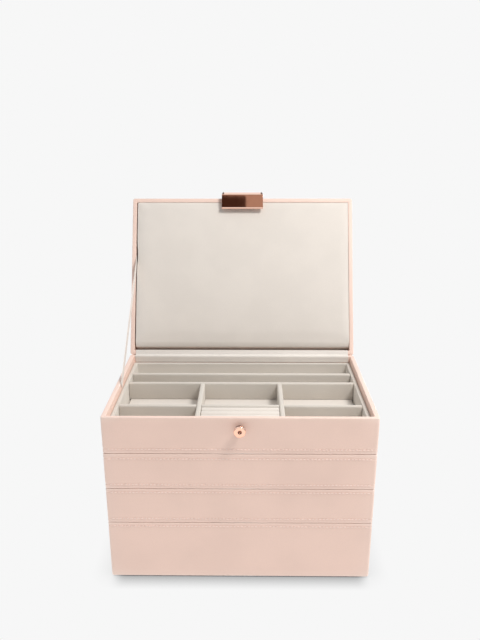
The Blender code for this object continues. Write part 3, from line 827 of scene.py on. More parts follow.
@dataclass
class Tray:
    """An open tray whose wall's profile is carried round a rounded rectangle.

    Args:
        half: Half its width and half its depth, outside.
        height: Its height.
        wall: Its wall's and its floor's thickness.
        edge: Radius of the edges at its rim and foot, outside.
        corner: Radius of its upright corners, outside.
        inner_edge: Radius of its rim's edge, inside.
        inner_corner: Radius of its upright corners, inside.
        grooves: Heights of the stitched grooves on its outside.
    """

    half: Pair
    height: float
    wall: float
    edge: float = 0.8 * MM
    corner: float = 2.0 * MM
    inner_edge: float = 0.9 * MM
    inner_corner: float = 1.2 * MM
    grooves: tuple[float, ...] = ()
    groove_depth: float = 0.26 * MM
    groove_width: float = 0.55 * MM
    groove_reach: int = 3
    groove_steps: int = 12
    fillet: float = 0.6 * MM
    fillet_steps: int = 3
    margin: float = 4 * MM
    edge_steps: int = 5
    wall_steps: int = 8
    corner_steps: int = 6
    side_steps: int = 16

    def profile(self) -> np.ndarray:
        """The wall's profile, from under the foot, up the outside, over the rim and down to the floor.

        A groove is a bell curve of the height above it, taken off the outside.

        Returns:
            Rows of (distance inside the outer face, height).
        """
        edge, top, inner, fillet = self.edge, self.height, self.inner_edge, self.fillet
        spread = np.linspace(-self.groove_reach, self.groove_reach, self.groove_steps + 1) * self.groove_width
        levels = [np.linspace(edge, top - edge, self.wall_steps + 1)[1:-1]]
        level = np.sort(np.concatenate(levels + [groove + spread for groove in self.grooves]))
        level = level[(level > edge) & (level < top - edge)]
        dip = np.zeros_like(level)
        for groove in self.grooves:
            dip += self.groove_depth * np.exp(-(((level - groove) / self.groove_width) ** 2))
        return np.concatenate(
            [
                [(edge + self.margin, 0)],
                arc((edge, edge), edge, 270, 180, self.edge_steps),
                np.stack([dip, level], -1),
                arc((edge, top - edge), edge, 180, 90, self.edge_steps),
                arc((self.wall - inner, top - inner), inner, 90, 0, self.edge_steps),
                arc((self.wall + fillet, self.wall + fillet), fillet, 180, 270, self.fillet_steps),
                [(self.wall + fillet + self.margin, self.wall)],
            ]
        )

    def surface(self) -> Surface:
        """Carries the profile round the tray.

        A corner point is the corner's centre plus its radius times a unit direction, and its radius eases
        from the outer corner's to the inner corner's with the distance inside. A side's points lie evenly on
        the straight line between the corners beside it.

        Returns:
            The closed tray, centred on the Z axis, standing on Z 0.
        """
        inset, level = self.profile().T
        eased = np.clip(inset / self.wall, 0, 1)
        radius = self.corner + (self.inner_corner - self.corner) * eased
        per = self.corner_steps + 1
        angle = (np.arange(4)[:, None] * np.pi / 2 + np.linspace(0, np.pi / 2, per)).ravel()
        sign = np.repeat([[1, 1], [-1, 1], [-1, -1], [1, -1]], per, axis=0)
        way = np.stack([np.cos(angle), np.sin(angle)], -1)
        centre = np.asarray(self.half)[None, :] - inset[:, None] - radius[:, None]
        ring = sign[None] * centre[:, None] + radius[:, None, None] * way[None]
        count = len(angle)
        copies = np.ones(count, int)
        copies[self.corner_steps :: per] = self.side_steps
        start = np.repeat(np.arange(count), copies)
        first = np.repeat(np.cumsum(copies) - copies, copies)
        share = ((np.arange(len(start)) - first) / self.side_steps)[None, :, None]
        ring = ring[:, start] * (1 - share) + ring[:, (start + 1) % count] * share
        return tube(np.concatenate([ring, np.broadcast_to(level[:, None, None], (*ring.shape[:2], 1))], -1))


@dataclass
class Stitching:
    """A row of saddle stitches round a tray, each a short capsule centred just outside the grooved face."""

    pitch: float = 3.36 * MM
    length: float = 2.25 * MM
    radius: float = 0.5 * MM
    slant: float = math.radians(4)
    proud: float = 0.05 * MM
    corner_gap: float = 3.2 * MM
    stations: tuple[float, ...] = (-0.985, -0.8, -0.35, 0.35, 0.8, 0.985)
    bluntness: int = 4
    sides: int = 6

    def capsule(self) -> Surface:
        """One stitch along X.

        Its radius is the thread's times the fourth root of one less the fourth power of the distance from
        its middle, as a share of its half length.

        Returns:
            The closed stitch, with its length and girth as its flat map.
        """
        share = np.array(self.stations)
        swell = self.radius * (1 - share**self.bluntness) ** (1 / self.bluntness)
        made = turned(np.stack([swell, share * self.length / 2], -1), self.sides)
        points = made.points[:, [2, 0, 1]]
        girth = np.arctan2(points[:, 2], points[:, 1]) * self.radius
        return Surface(points, made.quads, made.caps, np.stack([points[:, 0], girth], -1))

    def row(self, half: Pair, level: float) -> Surface:
        """All the stitches of a row, on the four sides of a tray.

        Every vertex is its stitch's centre plus its own x, y and z along that stitch's tangent, outward
        normal and upward direction.

        Args:
            half: Half the tray's width and half its depth.
            level: The row's height.

        Returns:
            One surface that holds every stitch.
        """
        sides = []
        for along, out, sign in ((0, 1, 1), (1, 0, 1), (0, 1, -1), (1, 0, -1)):
            count = int((2 * half[along] - 2 * self.corner_gap) // self.pitch)
            centre, tangent, normal = made = np.zeros((3, count, 3))
            centre[:, along] = (np.arange(count) - (count - 1) / 2) * self.pitch
            centre[:, out] = sign * (half[out] + self.proud)
            centre[:, 2] = level
            tangent[:, along] = math.cos(self.slant)
            tangent[:, 2] = math.sin(self.slant)
            normal[:, out] = sign
            sides.append(made)
        centre, tangent, normal = np.concatenate(sides, axis=1)[:, :, None]
        one = self.capsule()
        x, y, z = (one.points[None, :, axis, None] for axis in range(3))
        points = centre + x * tangent + y * normal + z * np.cross(tangent, normal)
        return joined([Surface(stitch, one.quads, one.caps, one.flat) for stitch in points])


@dataclass
class Board:
    """A velvet-covered board with a rolled top edge."""

    low: Sequence[float]
    high: Sequence[float]
    roll: float = 1.7 * MM
    foot: float = 0.3 * MM
    end_round: float = 0.35 * MM

    def surface(self) -> Surface:
        """Carries the board's section along its longer way.

        Returns:
            The closed board, in place.
        """
        size = np.asarray(self.high) - np.asarray(self.low)
        along = Along.X if size[0] > size[1] else Along.Y
        length, across = (size[0], size[1]) if along is Along.X else (size[1], size[0])
        half, tall = across / 2, size[2]
        loop = np.concatenate(
            [
                arc((half - self.foot, self.foot), self.foot, -90, 0, steps=2),
                arc((half - self.roll, tall - self.roll), self.roll, 0, 90, steps=6),
                arc((self.roll - half, tall - self.roll), self.roll, 90, 180, steps=6),
                arc((self.foot - half, self.foot), self.foot, 180, 270, steps=2),
            ]
        )
        centre = (np.asarray(self.high) + np.asarray(self.low)) / 2
        place = Matrix.Translation((centre[0], centre[1], self.low[2]))
        if along is Along.Y:
            place @= Matrix.Rotation(QUARTER, 4, "Z")
        return extrude(loop, -length / 2, length / 2, self.end_round).bare().placed(place)


def joint(name: str) -> dict:
    """A packed joint by its name."""
    return next(item for item in frame["joints"] if item["name"] == name)


class Workshop:
    """What every sub-assembly needs to add its pieces: the coats, each made once, and the lid's frame."""

    def __init__(self) -> None:
        """Makes the coats and reads the lid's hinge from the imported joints."""
        self.leatherette = Leatherette().coat()
        # The strip's edges keep the plain colour, without rubbing or the painted rim highlight.
        self.strip_leather = Leatherette("strip_leatherette", rub_and_highlight_colour=Leatherette.colour).coat()
        self.velvet = Velvet().coat()
        # Lighter copies of the one velvet, as painted light: for the lit floor cards, rolls and pad, and for
        # the hinge lining.
        self.lit_velvet = Velvet("lit_velvet", srgb(228, 221, 214)).coat()
        self.lit_lining_velvet = Velvet("lit_lining_velvet", srgb(233, 227, 221)).coat()
        self.rose_gold = RoseGold().coat()
        # A darkened copy of the rose gold, as painted shade for the washer, bracket and pin, which sit in shade
        # and mirror dark.
        self.shaded_gold = RoseGold("shaded_rose_gold", (0.22, 0.12, 0.085), roughness=0.22).coat()
        satin = {"warp": 0.35 * MM, "weft": 0.2 * MM, "depth": 0.004 * MM, "roughness": 0.4}
        self.satin = Woven("satin_ribbon", srgb(240, 232, 226), Slot.SATIN, **satin).coat()
        thread = {"warp": 0.5 * MM, "weft": 0.9 * MM, "depth": 0.05 * MM, "roughness": 0.6}
        self.thread = Woven("stitch_thread", srgb(248, 224, 214), Slot.LEATHERETTE, **thread).coat()
        self.felt = Felt().coat()
        hinge = joint("lid_hinge")
        self.hinge = Vector(hinge["pos_m"])
        self.open_angle = math.radians(hinge["range_deg"][1])

    def from_lid(self) -> Matrix:
        """The matrix from the closed lid's frame to its place at rest, open."""
        return Matrix.Translation(self.hinge) @ Matrix.Rotation(-self.open_angle, 4, "X")

    def lid_box(self, node: str) -> tuple[np.ndarray, np.ndarray]:
        """Measures a CAD node in the closed lid's frame.

        Args:
            node: The node's name.

        Returns:
            Its lowest and its highest corner.
        """
        matrix = np.array(self.from_lid().inverted())
        points = coords(frame["nodes"][node].data) @ matrix[:3, :3].T + matrix[:3, 3]
        return points.min(0), points.max(0)

    def add(self, name: str, surface: Surface, coat: Coat, body: str | None, *nodes: str) -> bpy.types.Object:
        """Args:
            name: The piece's name.
            surface: Its mesh, in place.
            coat: Its finish.
            body: The body that it rides on, or None for a piece that spans two and is left unattached.
            *nodes: The CAD nodes that it stands for.

        Returns:
            The new object.
        """
        piece = surface.object(name, coat.material)
        self.declare(piece, coat, body, *nodes)
        return piece

    def declare(self, piece: bpy.types.Object, coat: Coat, body: str | None, *nodes: str) -> None:
        """Attaches a finished piece to the body that it rides on, hides the CAD nodes that it stands for and
        logs its faces.

        Args:
            piece: The piece.
            coat: Not used.
            body: The body that it rides on, or None for a piece that spans two and is left unattached.
            *nodes: The CAD nodes that it stands for.
        """
        if body:
            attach(piece, body)
        if nodes:
            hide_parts(*nodes)
        log.info("%s: %d faces", piece.name, len(piece.data.polygons))


@dataclass
class Part:
    """A sub-assembly.

    Args:
        shop: Where its pieces are added.
    """

    shop: Workshop

    def build(self) -> None:
        """Builds its pieces."""
        raise NotImplementedError


@dataclass
class BaseFelt(Part):
    """The felt sheet that the box stands on."""

    edge: float = 0.3 * MM

    def build(self) -> None:
        """Builds the sheet."""
        surface = rounded_block(*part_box("base_felt"), self.edge, steps=2, spans=12)
        self.shop.add("base_felt_sheet", surface, self.shop.felt, "base", "base_felt")


@dataclass
class Tier(Part):
    """One tier: a leatherette shell with its stitching, its velvet tray, floor card, plinth and dividers.

    Args:
        name: The tier's body, whose name also starts its nodes' names.
        rows: Heights of the stitched rows, from the foot where positive and from the rim where negative.
        dividers: The dividers' node names.
    """

    name: str
    rows: tuple[float, ...]
    dividers: tuple[str, ...]
    wall: float = 4.5 * MM
    liner_wall: float = 4.0 * MM
    liner_edge: float = 1.3 * MM
    liner_corner: float = 1.6 * MM
    liner_inner_corner: float = 0.9 * MM
    card_edge: float = 0.6 * MM
    plinth_edge: float = 1.2 * MM

    def build(self) -> None:
        """Builds every piece of the tier."""
        shop = self.shop
        self.build_shell()
        self.build_liner()
        for node in self.dividers:
            shop.add(f"{node}_velvet", Board(*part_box(node)).surface(), shop.velvet, self.name, node)
        plinth = f"{self.name}_plinth"
        if plinth in frame["nodes"]:
            surface = rounded_block(*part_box(plinth), self.plinth_edge)
            shop.add(f"{plinth}_board", surface, shop.velvet, self.name, plinth)

    def build_shell(self) -> None:
        """Builds the leatherette shell and its rows of stitches."""
        shop, node = self.shop, f"{self.name}_shell"
        low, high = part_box(node)
        height = high.z - low.z
        levels = tuple(row if row > 0 else height + row for row in self.rows)
        tray = Tray((high.x, high.y), height, self.wall, grooves=levels)
        place = Matrix.Translation((0, 0, low.z))
        shop.add(f"{node}_leather", tray.surface().placed(place), shop.leatherette, self.name, node)
        rows = joined([Stitching().row(tray.half, level) for level in levels])
        shop.add(f"{self.name}_stitches", rows.placed(place), shop.thread, self.name)

    def build_liner(self) -> None:
        """Builds the velvet tray and the card on its floor."""
        shop, node = self.shop, f"{self.name}_liner"
        low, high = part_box(node)
        tray = Tray(
            (high.x, high.y),
            high.z - low.z,
            self.liner_wall,
            edge=self.liner_edge,
            corner=self.liner_corner,
            inner_edge=self.liner_edge,
            inner_corner=self.liner_inner_corner,
        )
        surface = tray.surface().placed(Matrix.Translation((0, 0, low.z)))
        shop.add(f"{node}_velvet", surface, shop.velvet, self.name, node)
        card = f"{self.name}_floor_pad"
        surface = rounded_block(*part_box(card), self.card_edge, spans=10)
        # The floor card wears the lighter velvet: painted light.
        shop.add(f"{card}_velvet", surface, shop.lit_velvet, self.name, card)


@dataclass
class RingRolls(Part):
    """The row of velvet ring rolls in the front middle cell."""

    count: int = 4
    foot: float = 0.5 * MM
    end_round: float = 1.2 * MM
    crown: float = 0.98

    def build(self) -> None:
        """Builds each roll as a block with a half-round top, attached to the top box."""
        foot = self.foot
        for number in range(1, self.count + 1):
            node = f"ring_roll_{number}"
            low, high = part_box(node)
            radius, middle = (high.y - low.y) / 2, (high.y + low.y) / 2
            loop = np.concatenate(
                [
                    arc((high.y - foot, low.z + foot), foot, -90, 0, steps=3),
                    arc((middle, high.z - radius), radius * self.crown, 0, 180, steps=20),
                    arc((low.y + foot, low.z + foot), foot, 180, 270, steps=3),
                ]
            )
            surface = extrude(loop, low.x, high.x, self.end_round, steps=5).bare()
            # The rolls wear the lighter velvet: painted light.
            roll = self.shop.add(f"{node}_velvet", surface, self.shop.lit_velvet, "top_box", node)


@dataclass
class Stud(Part):
    """The mushroom stud and its washer on the front of the top box."""

    head_radius: float = 5.5 * MM
    head: float = 2.6 * MM
    dish: float = 0.25 * MM
    dish_steps: int = 11
    rim: float = 1.0 * MM
    eye_radius: float = 1.8 * MM
    eye: float = 1.6 * MM
    eye_lip: float = 0.2 * MM
    eye_fillet: float = 0.5 * MM
    eye_middle: float = 0.02 * MM
    neck_radius: float = 2.2 * MM
    neck_foot: float = 1.3 * MM
    neck_flare: float = 0.4 * MM
    shank: float = 2.8 * MM
    shank_radius: float = 1.3 * MM
    shank_play: float = 0.3 * MM

    def build(self) -> None:
        """Builds the stud and the washer as turned pieces that face forward."""
        shop = self.shop
        low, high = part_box("clasp_stud")
        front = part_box("top_box_shell")[0].y
        place = Matrix.Translation(((low.x + high.x) / 2, front, (low.z + high.z) / 2)) @ FORWARD
        surface = turned(self.profile(front - low.y), sides=72).placed(place)
        shop.add("stud_polished", surface, shop.rose_gold, "top_box", "clasp_stud")
        low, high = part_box("stud_washer")
        radius, thick, gap = (high.x - low.x) / 2, high.y - low.y, front - high.y
        edge = thick / 2
        hole = self.shank_radius + self.shank_play
        ring = np.concatenate(
            [
                arc((radius - edge, gap + edge), edge, 90, -90, steps=8),
                [(hole, gap), (hole, gap + thick), (radius - edge, gap + thick)],
            ]
        )
        washer = turned(ring, sides=56)
        surface = Surface(washer.points, washer.quads).welded().placed(place)
        # The washer wears the darkened rose gold: painted shade.
        shop.add("stud_washer_polished", surface, shop.shaded_gold, "top_box", "stud_washer")

    def profile(self, reach: float) -> np.ndarray:
        """The stud's profile: the eye, a shallow dish, a round rim, the back of the head, neck and shank.

        The dish's height falls short of the face by its depth times one less the square of the radius, as a
        share of the dish's own radius.

        Args:
            reach: How far the face stands in front of the box.

        Returns:
            Rows of (radius, height above the box's front).
        """
        face, back = self.head_radius - self.rim, reach - self.head
        lip, fillet = self.eye_lip, self.eye_fillet
        radius = np.linspace(self.eye_radius + lip, face, self.dish_steps + 1)
        dish = np.stack([radius, reach - self.dish * (1 - (radius / face) ** 2)], -1)
        floor = dish[0, 1] - self.eye
        return np.concatenate(
            [
                [(self.eye_middle, floor)],
                arc((self.eye_radius - fillet, floor + fillet), fillet, 270, 360, steps=4),
                arc((self.eye_radius + lip, dish[0, 1] - lip), lip, 180, 90, steps=4),
                dish[1:-1],
                arc((face, reach - self.rim), self.rim, 90, -80, steps=14),
                [
                    (self.neck_radius + self.neck_flare, back),
                    (self.neck_radius, back - self.neck_flare),
                    (self.neck_radius, self.neck_foot),
                    (self.shank_radius, self.neck_foot),
                    (self.shank_radius, -self.shank),
                ],
            ]
        )


@dataclass
class Lid(Part):
    """The lid's leatherette shell, its board and its padded velvet panel."""

    wall: float = 4.5 * MM
    inner_edge: float = 0.5 * MM
    board_edge: float = 0.5 * MM
    pad_corner: float = 0.8 * MM
    pad_spans: tuple[int, int, int] = (56, 56, 2)
    pad_crown: float = 0.25 * MM
    pad_draw: float = 0.1 * MM
    pad_drop: float = 0.1 * MM
    pad_foot_drop: float = 3.2 * MM
    pad_foot_inset: float = 1.5 * MM
    pad_reach: float = 10 * MM
    pad_spread: Point = (0.9 * MM, 0.32 * MM, 0.45 * MM)
    dent: float = 0.9 * MM
    dent_width: float = 12 * MM
    free_edge: float = 0.8
    pad_pressure: float = 4.0
    pad_stiffness: float = 12.0
    pad_travel: float = 0.6 * MM
    frames: int = 20

    def build(self) -> None:
        """Builds the lid's pieces."""
        shop = self.shop
        low, high = shop.lid_box("lid_shell")
        half = ((high[0] - low[0]) / 2, (high[1] - low[1]) / 2)
        tray = Tray(half, high[2] - low[2], self.wall, inner_edge=self.inner_edge)
        upside_down = Matrix.Rotation(math.pi, 4, "X")
        centre = Matrix.Translation((0, (low[1] + high[1]) / 2, high[2]))
        surface = tray.surface().placed(shop.from_lid() @ centre @ upside_down)
        shop.add("lid_shell_leather", surface, shop.leatherette, "lid", "lid_shell")
        surface = rounded_block(*shop.lid_box("lid_backing_board"), self.board_edge).placed(shop.from_lid())
        shop.add("lid_board_velvet", surface, shop.velvet, "lid", "lid_backing_board")
        self.build_pad()

    def build_pad(self) -> None:
        """Builds the padded panel, whose face is inflated by a cloth simulation."""
        shop = self.shop
        low, high = shop.lid_box("lid_pad")
        left, right, front = self.pad_spread
        low = low + (-left, -front, self.pad_crown)
        high = high + (right, -self.pad_foot_inset, 0)
        surface = rounded_block(low, high, self.pad_corner, steps=4, spans=self.pad_spans)
        surface.points = self.pad_points(surface.points, low, high, -shop.lid_box("ribbon_stay")[0][1])
        # The pad wears the lighter velvet: painted light.
        pad = surface.object("lid_pad_velvet", shop.lit_velvet.material)
        edge = low[2] + self.pad_corner * self.free_edge
        self.inflate(pad, lambda rest: rest[:, 2] < edge)
        subdivide = pad.modifiers.new("soften", "SUBSURF")
        subdivide.levels = subdivide.render_levels = 1
        pad.data.transform(shop.from_lid())
        shop.declare(pad, shop.lit_velvet, "lid", "lid_pad")

    def pad_points(self, points: np.ndarray, low: np.ndarray, high: np.ndarray, ribbon: float) -> np.ndarray:
        """Draws the pad's sides in, lets its face fall back towards its edges and dents it at the ribbon.

        A side moves in by the draw times one less the square of the place along it. The face falls back by
        the drop times the square of the nearness to each edge, and at the hinge by the foot's drop times its
        cube, in full at the face and not at all at the back. The dent is a bell curve along the left side,
        over the nearest part of it.

        Args:
            points: The block's points in the closed lid's frame.
            low: Its lowest corner.
            high: Its highest corner.
            ribbon: How far forward of the hinge the ribbon reaches.

        Returns:
            The points of the pad.
        """
        share = (points[:, :2] * 2 - low[:2] - high[:2]) / (high - low)[:2]
        reach = (high - low)[:2] / 2 / self.pad_reach
        near = np.clip(1 - (1 - np.abs(share)) * reach, 0, 1)
        foot = near[:, 1] ** 3 * (share[:, 1] > 0)
        depth = (high[2] - points[:, 2]) / (high[2] - low[2])
        moved = points.copy()
        moved[:, :2] -= share * self.pad_draw * (1 - share[:, ::-1] ** 2)
        moved[:, 2] += depth * (self.pad_drop * (near**2).sum(1) + self.pad_foot_drop * foot)
        bell = np.exp(-(((points[:, 1] + ribbon) / self.dent_width) ** 2))
        moved[:, 0] += self.dent * bell * near[:, 0] ** 2 * (share[:, 0] < 0)
        return moved

    def inflate(self, pad: bpy.types.Object, moves: Callable[[np.ndarray], np.ndarray]) -> None:
        """Swells the pad with Blender's cloth under pressure and writes the result into its mesh.

        Args:
            pad: The closed pad.
            moves: Says for the resting points which of them are free, while the others are pinned.
        """
        mesh, scene = pad.data, bpy.context.scene
        rest = coords(mesh)
        pinned = pad.vertex_groups.new(name="pinned")
        pinned.add(np.flatnonzero(~moves(rest)).tolist(), 1.0, "REPLACE")
        cloth = pad.modifiers.new("cloth", "CLOTH")
        cloth.settings.use_pressure = True
        cloth.settings.uniform_pressure_force = self.pad_pressure
        cloth.settings.vertex_group_mass = "pinned"
        cloth.settings.tension_stiffness = cloth.settings.compression_stiffness = self.pad_stiffness
        cloth.settings.effector_weights.gravity = 0
        cloth.point_cache.frame_start, cloth.point_cache.frame_end = 1, self.frames
        for number in range(1, self.frames + 1):
            scene.frame_set(number)
        move = coords(pad.evaluated_get(bpy.context.evaluated_depsgraph_get()).data) - rest
        far = np.linalg.norm(move, axis=1, keepdims=True)
        move *= np.minimum(1, self.pad_travel / np.maximum(far, WELD))
        pad.modifiers.remove(cloth)
        pad.vertex_groups.remove(pinned)
        scene.frame_set(1)
        mesh.vertices.foreach_set("co", (rest + move).ravel())
        mesh.update()


@dataclass
class Clasp(Part):
    """The bracket, rivets and pin on the lid, and the plate that swings on the pin."""

    plate: float = 1.1 * MM
    face: float = 3.0 * MM
    drop: float = 19.0 * MM
    support: float = 0.2 * MM
    barrel: float = 1.45 * MM
    barrel_gap: float = 3.0
    shoulder: float = 3.6 * MM
    lip: float = 1.8 * MM
    lip_radius: float = 1.6 * MM
    lip_sweep: float = 60.0
    ear_radius: float = 2.0 * MM
    barrel_inset: float = 2.6 * MM
    notch_reach: float = 3.0 * MM
    notch_edge: float = 0.05 * MM
    polish: float = 0.12 * MM
    polish_steps: int = 3
    polish_angle: float = math.radians(50)
    bracket_weld: float = 0.002 * MM
    bracket_flat: float = math.radians(0.5)
    pin_head: float = 0.5 * MM
    pin_shaft: float = 0.7 * MM
    rivet_head: float = 0.7 * MM
    rivet_shank: float = 0.8 * MM

    def build(self) -> None:
        """Builds the clasp's pieces."""
        hinge = joint("clasp_hinge")
        pin = Vector(hinge["pos_m"])
        self.build_plate(pin, self.shop.open_angle + math.radians(hinge["range_deg"][0]))
        self.build_bracket()
        self.build_pin(pin)
        for side in ("left", "right"):
            self.build_rivet(f"clasp_rivet_{side}")

    def plate_outline(self) -> np.ndarray:
        """The plate's section about the pin, in one outline.

        It runs round the barrel from where the leaf's back meets it, over the shoulder, whose circle touches
        the barrel's from outside, down the face, round the flared lip's tip and up the back. A support point
        close to either end of each flat side keeps it flat.

        Returns:
            The outline's points, anticlockwise.
        """
        half, barrel, sweep = self.plate / 2, self.barrel, self.lip_sweep
        outer, across = self.shoulder + half, self.shoulder - self.face
        bend = (across, -math.sqrt((outer - barrel) ** 2 - across**2))
        leaves = math.degrees(math.atan2(-bend[1], -bend[0]))
        flare = (-self.face - self.lip_radius, self.lip - self.drop)
        inner = arc(bend, self.shoulder - half, 180, 90, steps=24)
        inner = inner[np.linalg.norm(inner, axis=1) > barrel]
        meet = math.degrees(math.atan2(inner[-1, 1], inner[-1, 0])) % 360
        turn = math.radians(sweep)
        tip = (flare[0] + self.lip_radius * math.cos(turn), flare[1] - self.lip_radius * math.sin(turn))
        top, low = bend[1] - self.support, flare[1] + self.support
        return np.concatenate(
            [
                arc((0, 0), barrel, meet + self.barrel_gap, 360 + leaves, steps=48),
                arc(bend, outer, leaves, 180, steps=16)[1:],
                [(-self.face - half, top), (-self.face - half, low)],
                arc(flare, self.lip_radius - half, 0, -sweep, steps=10),
                arc(tip, half, 180 - sweep, 360 - sweep, steps=8)[1:-1],
                arc(flare, self.lip_radius + half, -sweep, 0, steps=12),
                [(half - self.face, low), (half - self.face, top)],
                inner,
            ]
        )

    def build_plate(self, pin: Vector, tilt: float) -> None:
        """Carries the plate's outline across its width and notches it round the bracket's ears.

        Args:
            pin: The pin's centre.
            tilt: How far the plate leans forward of hanging upright.
        """
        shop, reach = self.shop, self.notch_reach
        low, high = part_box("clasp_plate")
        made = extrude(self.plate_outline(), low.x, high.x).bare()
        plate = made.object("clasp_plate_polished", shop.rose_gold.material)
        for side in (-1, 1):
            inner = side * (high.x - self.barrel_inset)
            outer = side * (high.x + reach)
            below = (min(inner, outer), -self.face - self.plate - reach, -self.ear_radius)
            above = (max(inner, outer), self.barrel + reach, self.barrel + reach)
            carve(plate, rounded_block(below, above, self.notch_edge, steps=1, spans=1))
        plate.data.transform(Matrix.Translation(pin) @ Matrix.Rotation(-tilt, 4, "X"))
        bevel = plate.modifiers.new("polish", "BEVEL")
        bevel.width, bevel.segments, bevel.limit_method = self.polish, self.polish_steps, "ANGLE"
        bevel.angle_limit = self.polish_angle
        bevel.harden_normals = True
        shop.declare(plate, shop.rose_gold, "clasp", "clasp_plate")

    def build_bracket(self) -> None:
        """Copies the bracket from the frame, welds its loose triangles and joins its flat faces."""
        # The bracket wears the darkened rose gold: painted shade.
        coat = self.shop.shaded_gold
        mesh = frame["nodes"]["clasp_bracket"].data.copy()
        mesh.name = "clasp_bracket_polished"
        work = bmesh.new()
        work.from_mesh(mesh)
        bmesh.ops.remove_doubles(work, verts=work.verts, dist=self.bracket_weld)
        bmesh.ops.dissolve_limit(work, angle_limit=self.bracket_flat, verts=work.verts, edges=work.edges)
        work.to_mesh(mesh)
        work.free()
        mesh.materials.clear()
        mesh.materials.append(coat.material)
        smoothed(mesh)
        self.shop.declare(linked(mesh.name, mesh), coat, "lid", "clasp_bracket")

    def build_pin(self, pin: Vector) -> None:
        """Turns the pin, with a domed head at each end.

        Args:
            pin: The pin's centre.
        """
        low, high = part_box("clasp_pin")
        half, radius = (high.x - low.x) / 2, (high.z - low.z) / 2
        end = np.concatenate([dome(radius, self.pin_head, half), [(self.pin_shaft, half - self.pin_head)]])
        profile = np.concatenate([end, end[::-1] * (1, -1)])
        place = Matrix.Translation(pin) @ Matrix.Rotation(QUARTER, 4, "Y")
        surface = turned(profile, sides=32).placed(place)
        # The pin wears the darkened rose gold: painted shade.
        self.shop.add("clasp_pin_polished", surface, self.shop.shaded_gold, "lid", "clasp_pin")

    def build_rivet(self, node: str) -> None:
        """Turns a domed rivet of the bracket.

        Args:
            node: The rivet's CAD node.
        """
        shop = self.shop
        low, high = shop.lid_box(node)
        head = dome((high[0] - low[0]) / 2, self.rivet_head, -low[1])
        shank = [(self.rivet_shank, -low[1] - self.rivet_head), (self.rivet_shank, -high[1])]
        centre = Matrix.Translation(((low[0] + high[0]) / 2, 0, (low[2] + high[2]) / 2))
        surface = turned(np.concatenate([head, shank]), sides=32).placed(shop.from_lid() @ centre @ FORWARD)
        shop.add(f"{node}_polished", surface, shop.rose_gold, "lid", node)


def dome(radius: float, rise: float, top: float, start: float = 88.0) -> np.ndarray:
    """A round head's profile: a unit arc from beside the axis, times its radius and rise, up to its top."""
    return arc((0, 0), 1, start, 0, steps=8) * (radius, rise) + (0, top - rise)


def carve(piece: bpy.types.Object, tool: Surface) -> None:
    """Takes a tool's volume out of a piece and keeps the result as the piece's mesh.

    Args:
        piece: The piece.
        tool: The closed surface to take out.
    """
    cutter = tool.object("tool", piece.data.materials[0])
    boolean = piece.modifiers.new("carve", "BOOLEAN")
    boolean.operation, boolean.solver, boolean.object = "DIFFERENCE", "EXACT", cutter
    graph = bpy.context.evaluated_depsgraph_get()
    result = bpy.data.meshes.new_from_object(piece.evaluated_get(graph))
    piece.modifiers.clear()
    piece.data = result
    bpy.data.objects.remove(cutter)
    smoothed(result)


